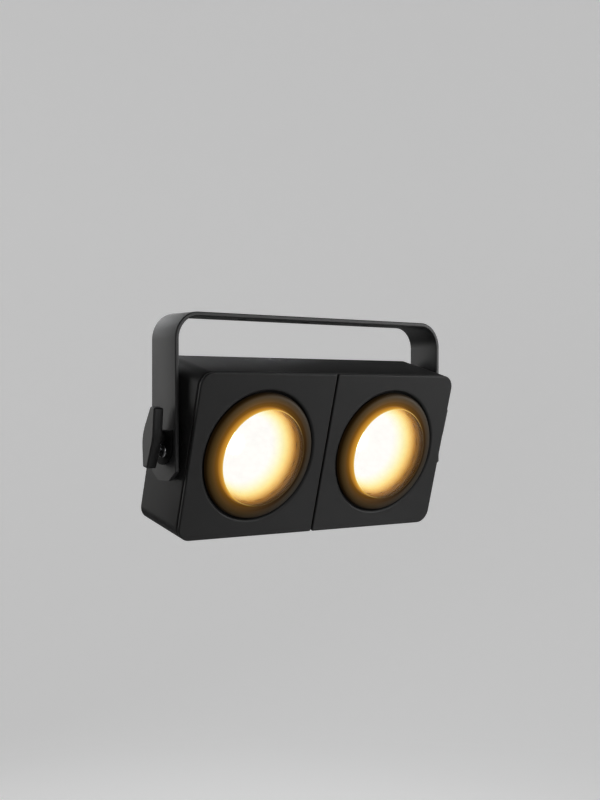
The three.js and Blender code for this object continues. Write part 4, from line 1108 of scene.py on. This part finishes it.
def powerContacts(shell, item, floor, top, bore, space, s):
    core = [(s["core"], floor - over), (s["core"], top - s["coreDrop"]),
            (s["core"] - s["coreBevel"], top - s["coreDrop"] + s["coreBevel"])]
    circle, first = bore - s["keySink"], s["keyBearing"][item]
    under, keyTop = floor - over, top - s["keyDrop"]
    keys = contactPlates(s["key"], circle, first, under, keyTop, s["keyEdge"], space)
    circle, slotFloor, bladeFloor = s["contactCircle"], floor + s["slotFloor"], floor + s["bladeFloor"]
    first = s["contactBearing"]
    slots = contactPlates(s["slot"], circle, first, slotFloor, top, s["slotEdge"], space)
    combine(shell, [solid("core", core, smallSides, space), *keys], "UNION")
    combine(shell, slots)
    return contactPlates(s["blade"], circle, first, bladeFloor, top - s["bladeDrop"], s["bladeEdge"], space)


def makeDataHoles(shell, floor, top, seat, thick, space, s):
    radius, bevel, front = s["insert"], s["insertBevel"], top - s["insertDrop"]
    profile = [(radius, floor - over), (radius, front), (radius - bevel, front + bevel)]
    insert = solid("insert", profile, connectorSettings["sides"], space)
    outline = roundedRect(*s["tab"], 0, s["tabUp"])
    tab = plate("tab", outline, seat + over, seat + thick + s["tabRise"], s["tabEdge"], space)
    combine(shell, [insert, tab], "UNION")
    places = contactPlaces(s["pinCircle"], s["holeBearing"])
    holes = [roundHole(*place, s["pinHole"], s["pinSides"]) for place in places]
    combine(shell, [plate("hole", hole, floor + over, top, s["holeEdge"], space) for hole in holes])


def dataPins(floor, top, space, s):
    radius, root = s["pinRadius"], floor - s["pinRoot"]
    profile = [(0, root), (radius, root), (radius, top - s["pinDrop"])]
    profile += [(radius * s["pinTaper"], top - s["pinShoulder"]), (0, top - s["pinTip"])]
    return [turned("pin", profile, s["pinSides"], space @ Matrix.Translation((across, 0, up)), closed=False)
            for across, up in contactPlaces(s["pinCircle"], s["pinBearing"])]


def makeConnector(item, s, material, slot):
    space, low, high = centred(item)
    top, bore, collar, lip, thick = high.y, s["bore"], s["collar"], s["lipRound"], s["flange"]
    seat, floor = top - s["collarRise"] - thick, top - s["socketDepth"]
    outline = boxOutline(low, high, s["flangeCorner"])
    shell = plate(f"{item}_shell", outline, seat, seat + thick, s["edge"], space)
    body = [(collar, low.y)] + arc(collar - lip, top - lip, lip, 0, 90, s["lipSteps"])
    combine(shell, [solid("body", body, s["sides"], space)], "UNION")
    combine(shell, [rod("well", bore, floor, top + over, s["sides"], space)])
    metalParts = []
    if item.startswith("power"):
        metalParts = powerContacts(shell, item, floor, top, bore, space, powerSettings)
    elif item == "data_outlet":
        makeDataHoles(shell, floor, top, seat, thick, space, dataSettings)
    else:
        metalParts = dataPins(floor, top, space, dataSettings)
    across, up = s["screwPlace"]
    for sign in (1, -1):
        local = space @ Matrix.Translation((sign * across, 0, sign * up))
        metalParts.append(capScrew("flangeScrew", s["screwRadius"], seat + thick, s["screwRise"], local))
    for part in metalParts:
        part.data.transform(space.inverted() @ part.matrix_world)
    joined(shell, metalParts)
    for face in shell.data.polygons:
        face.material_index = min(face.material_index, 1)
    finished(shell, item, slot, material, "turnedSteel")


connectorLooks = {  # finish and slot of each shell
    "power_inlet": ("blueShell", "blue_plastic"), "power_outlet": ("greyShell", "grey_plastic"),
    "data_inlet": ("mouldedBlack", "moulded_black"), "data_outlet": ("mouldedBlack", "moulded_black"),
}
for item, (material, slot) in connectorLooks.items():
    makeConnector(item, connectorSettings, material, slot)
print("connectors made")


# Panel fittings: buttons, screws, safety eye and vent plug
buttonSettings = {
    "flangeThick": 1.2 * mm, "radius": 3.4 * mm, "edgeRound": 0.7 * mm, "edgeSteps": 5, "sides": 40,
    "dish": ((1.9 * mm, 0.12 * mm), (0, 0.3 * mm)),  # radius and depth below the top
}
panelScrewSettings = {"radius": 3 * mm, "rise": 2 * mm, "shank": 1.5 * mm}
eyeSettings = {
    "shank": 4 * mm, "shankLength": 9 * mm, "collar": 9 * mm, "collarRise": 1.6 * mm,
    "collarRound": 0.8 * mm, "roundSweep": (0, 70), "roundSteps": 4, "neck": (5.2 * mm, 4.4 * mm),
    "neckRise": 4 * mm, "neckBevel": 0.5 * mm, "ring": 10 * mm, "ringSides": 64, "wire": 3 * mm,
    "wireSteps": 20,
}
ventSettings = {
    "cap": 7.5 * mm, "capRise": 3.5 * mm, "capBevel": 0.8 * mm, "stem": 4.5 * mm,
    "well": (3.6 * mm, 4.4 * mm), "wellDepth": 0.9 * mm, "wellSides": 40,
}


def makeButton(index, s):
    item = buttons[index - 1]
    space, low, high = centred(item)
    wide, narrow, edge, top = (high.x - low.x) / 2, s["radius"], s["edgeRound"], high.y
    step = low.y + s["flangeThick"]
    profile = [(0, low.y), (wide, low.y), (wide, step), (narrow, step)]
    profile += arc(narrow - edge, top - edge, edge, 0, 90, s["edgeSteps"])
    profile += [(radius, top - depth) for radius, depth in s["dish"]]
    button = turned(f"soft_button_{index}", profile, s["sides"], space, closed=False)
    finished(button, item, "rubber", "softRubber", body=f"button_{index}")


def makePanelScrew(index, s):
    item = panelScrews[index - 1]
    space, low, high = centred(item)
    seat = high.y - s["rise"]
    shank = [(s["shank"], low.y), (s["shank"], seat)]
    screw = capScrew(f"panel_screw_{index}", s["radius"], seat, s["rise"], space, shank)
    finished(screw, item, "steel", "turnedSteel")


def makeSafetyEye(s):
    space, low, _ = centred("safety_eye")
    seat = low.y + s["shankLength"]
    top, shoulder, lip = seat + s["neckRise"], seat + s["collarRise"], s["collarRound"]
    profile = [(s["shank"], low.y), (s["shank"], seat), (s["collar"], seat), (s["collar"], shoulder)]
    profile += arc(s["collar"] - lip, shoulder, lip, *s["roundSweep"], s["roundSteps"])
    profile += [(s["neck"][0], top - s["neckBevel"]), (s["neck"][1], top)]
    eye = solid("lifting_eye", profile, smallSides, space)
    upright = space @ Matrix.Translation((0, top + s["ring"], 0)) @ Matrix.Rotation(quarterTurn, 4, "Z")
    loop = roundHole(s["ring"], 0, s["wire"], s["wireSteps"])
    combine(eye, [turned("loop", loop, s["ringSides"], upright)], "UNION")
    finished(eye, "safety_eye", "steel", "turnedSteel")


def makeVentPlug(s):
    space, low, high = centred("vent_plug")
    seat, top, cap, bevel = high.y - s["capRise"], high.y, s["cap"], s["capBevel"]
    plug = solid("vent_cap", [(cap, seat), (cap, top - bevel), (cap - bevel, top)], hexagonSides, space)
    combine(plug, [rod("stem", s["stem"], low.y, seat + over, stubSides, space)], "UNION")
    well = [(s["well"][0], top - s["wellDepth"]), (s["well"][1], top + over)]
    combine(plug, [solid("well", well, s["wellSides"], space)])
    finished(plug, "vent_plug", "black_plate", "plateBlackAndShade")


for index in range(1, 5):
    makeButton(index, buttonSettings)
    makePanelScrew(index, panelScrewSettings)
makeSafetyEye(eyeSettings)
makeVentPlug(ventSettings)
print("panel fittings made")


# Pivot bosses on the head's sides, and the friction washers on them
bossSettings = {
    "bore": 5.1 * mm, "neck": 13 * mm, "neckBevel": 0.5 * mm, "flange": 3 * mm, "edgeRound": 0.7 * mm,
    "edgeSteps": 4, "sides": 96,
}
washerSettings = {"bore": 5.25 * mm, "edgeRound": 0.4 * mm, "edgeSteps": 3, "sides": 96}


def makeBoss(side, s):
    space = pivotFrame(side)
    low, high = boxIn(space, f"{side}_pivot_boss")
    bore, neck, bevel, edge = s["bore"], s["neck"], s["neckBevel"], s["edgeRound"]
    flange, seat = (high.x - low.x) / 2, high.y - s["flange"]
    profile = [(bore, low.y), (neck - bevel, low.y), (neck, low.y + bevel), (neck, seat), (flange, seat)]
    profile += arc(flange - edge, high.y - edge, edge, 0, 90, s["edgeSteps"]) + [(bore, high.y)]
    boss = turned(f"{side}_boss", profile, s["sides"], space)
    # near-black instead of steel so that it stays dark beside the yoke's arm: painted shade
    finished(boss, f"{side}_pivot_boss", "steel", "plateBlackAndShade")


def makeWasher(side, s):
    space = pivotFrame(side)
    low, high = boxIn(space, f"{side}_friction_washer")
    radius, edge, steps = (high.x - low.x) / 2, s["edgeRound"], s["edgeSteps"]
    profile = [(s["bore"], low.y)] + arc(radius - edge, low.y + edge, edge, -90, 0, steps)
    profile += arc(radius - edge, high.y - edge, edge, 0, 90, steps) + [(s["bore"], high.y)]
    washer = turned(f"{side}_washer", profile, s["sides"], space)
    # a dark washer, kept this dark also as painted shade beside the yoke's arm
    finished(washer, f"{side}_friction_washer", "black_plate", "plateBlackAndShade")


for side in bothSides:
    makeBoss(side, bossSettings)
    makeWasher(side, washerSettings)
print("bosses made")


# Pieces that keep their plain shape get their finish
keptFinishes = {
    "plateBlackAndShade": ["left_lens_holder", "right_lens_holder"],
    "softRubber": [
        "cover_gasket", "left_lens_gasket", "right_lens_gasket", "left_led_lead", "right_led_lead",
    ],
    "turnedSteel": ["left_knob_stud", "right_knob_stud"],
    "bareAluminium": ["left_led_board", "right_led_board", "led_driver"],
    "phosphor": ["left_led_emitter", "right_led_emitter"],
    "circuitGreen": ["control_board"],
}
for name, kept in keptFinishes.items():
    for item in kept:
        nodes[item].data.materials.clear()
        nodes[item].data.materials.append(finish[name])


# Stage: a round pale floor that curves up into a wall all round, and soft lamps
stageSettings = {
    "floor": -1.15, "radius": 4.2, "wallHeight": 4.0, "bend": 1.8, "bendSweep": (-85, 0), "bendSteps": 16,
    "sides": 96, "colour": (0.74, 0.74, 0.74, 1), "seenStrength": 0.62, "worldStrength": 0.02,
}
neutral, warmer, cooler = (1, 1, 1), (1, 0.99, 0.97), (0.98, 0.99, 1)
lampSettings = [  # name, heading and height in degrees, distance, width, height, power, colour
    ("front", 330, 10, 1.4, 0.9, 0.6, 6.0, neutral),
    ("fill", 288, 10, 1.4, 1.1, 0.4, 3.6, neutral),
    ("frontUnder", 322, -14, 1.1, 0.9, 0.14, 0.6, neutral),
    ("frontFloor", 318, -33, 1.25, 0.7, 0.12, 0.8, neutral),
    ("right", 335, 46, 1.4, 0.4, 0.4, 1.5, neutral),
    ("left", 127, 3, 1.8, 1.0, 0.8, 3.5, warmer),
    ("back", 97, 22, 1.8, 2.4, 0.65, 9.3, cooler),
    ("backHigh", 105, 38, 1.3, 0.8, 0.4, 2.0, cooler),
    ("backRight", 56, 12, 1.4, 0.3, 0.2, 1.7, cooler),
    ("corner", 65, 42, 1.2, 0.5, 0.3, 0.35, cooler),
    ("sideRight", 15, 5, 1.8, 0.8, 0.8, 2.5, neutral),
    ("sideLeft", 225, 5, 1.8, 0.8, 0.8, 1.6, neutral),
]
lampAim = Vector((0, 0, -0.13))


def seenOnly(tree, strength):
    # the given strength for rays of the camera and of glass; none for the light on the object
    rays = node(tree, "LightPath", {}).outputs
    seen = maths(tree, "MAXIMUM", rays["Is Camera Ray"], rays["Is Transmission Ray"])
    return maths(tree, "MULTIPLY", seen, strength)


def makeStage(s):
    radius, bend, floor = s["radius"], s["bend"], s["floor"]
    profile = [(0, floor), (radius - bend, floor)]
    profile += arc(radius - bend, floor + bend, bend, *s["bendSweep"], s["bendSteps"])
    profile += [(radius, floor + s["wallHeight"])]
    upright = Matrix.Rotation(quarterTurn, 4, "X")
    paper = turned("sweep", profile, s["sides"], upright, closed=False)
    tree, shader = newMaterial("sweepPaper")
    wire(tree, shader, {
        "Base Color": s["colour"], "Roughness": 0.9, "Specular IOR Level": 0.1,
        "Emission Color": s["colour"], "Emission Strength": seenOnly(tree, s["seenStrength"]),
    })
    paper.data.materials.append(finish["sweepPaper"])


def makeLamp(name, heading, height, distance, width, tall, power, tint):
    data = bpy.data.lights.new(name, "AREA")
    data.shape = "RECTANGLE"
    data.size = width
    data.size_y = tall
    data.energy = power
    data.color = tint
    lamp = bpy.data.objects.new(name, data)
    turn, rise = math.radians(heading), math.radians(height)
    flat = distance * math.cos(rise)
    away = Vector((flat * math.cos(turn), flat * math.sin(turn), distance * math.sin(rise)))
    lamp.location = lampAim + away
    lamp.rotation_euler = (lampAim - lamp.location).to_track_quat("-Z", "Y").to_euler()
    lamp.visible_camera = False
    scene.collection.objects.link(lamp)


def makeWorld(s):
    world = bpy.data.worlds.new("studio")
    world.use_nodes = True
    tree = world.node_tree
    seen = seenOnly(tree, s["seenStrength"])
    strength = maths(tree, "ADD", seen, s["worldStrength"])
    wire(tree, tree.nodes["Background"], {"Color": (1, 1, 1, 1), "Strength": strength})
    scene.world = world


makeStage(stageSettings)
for lamp in lampSettings:
    makeLamp(*lamp)
makeWorld(stageSettings)
scene.view_settings.view_transform = "Standard"
print("stage made")
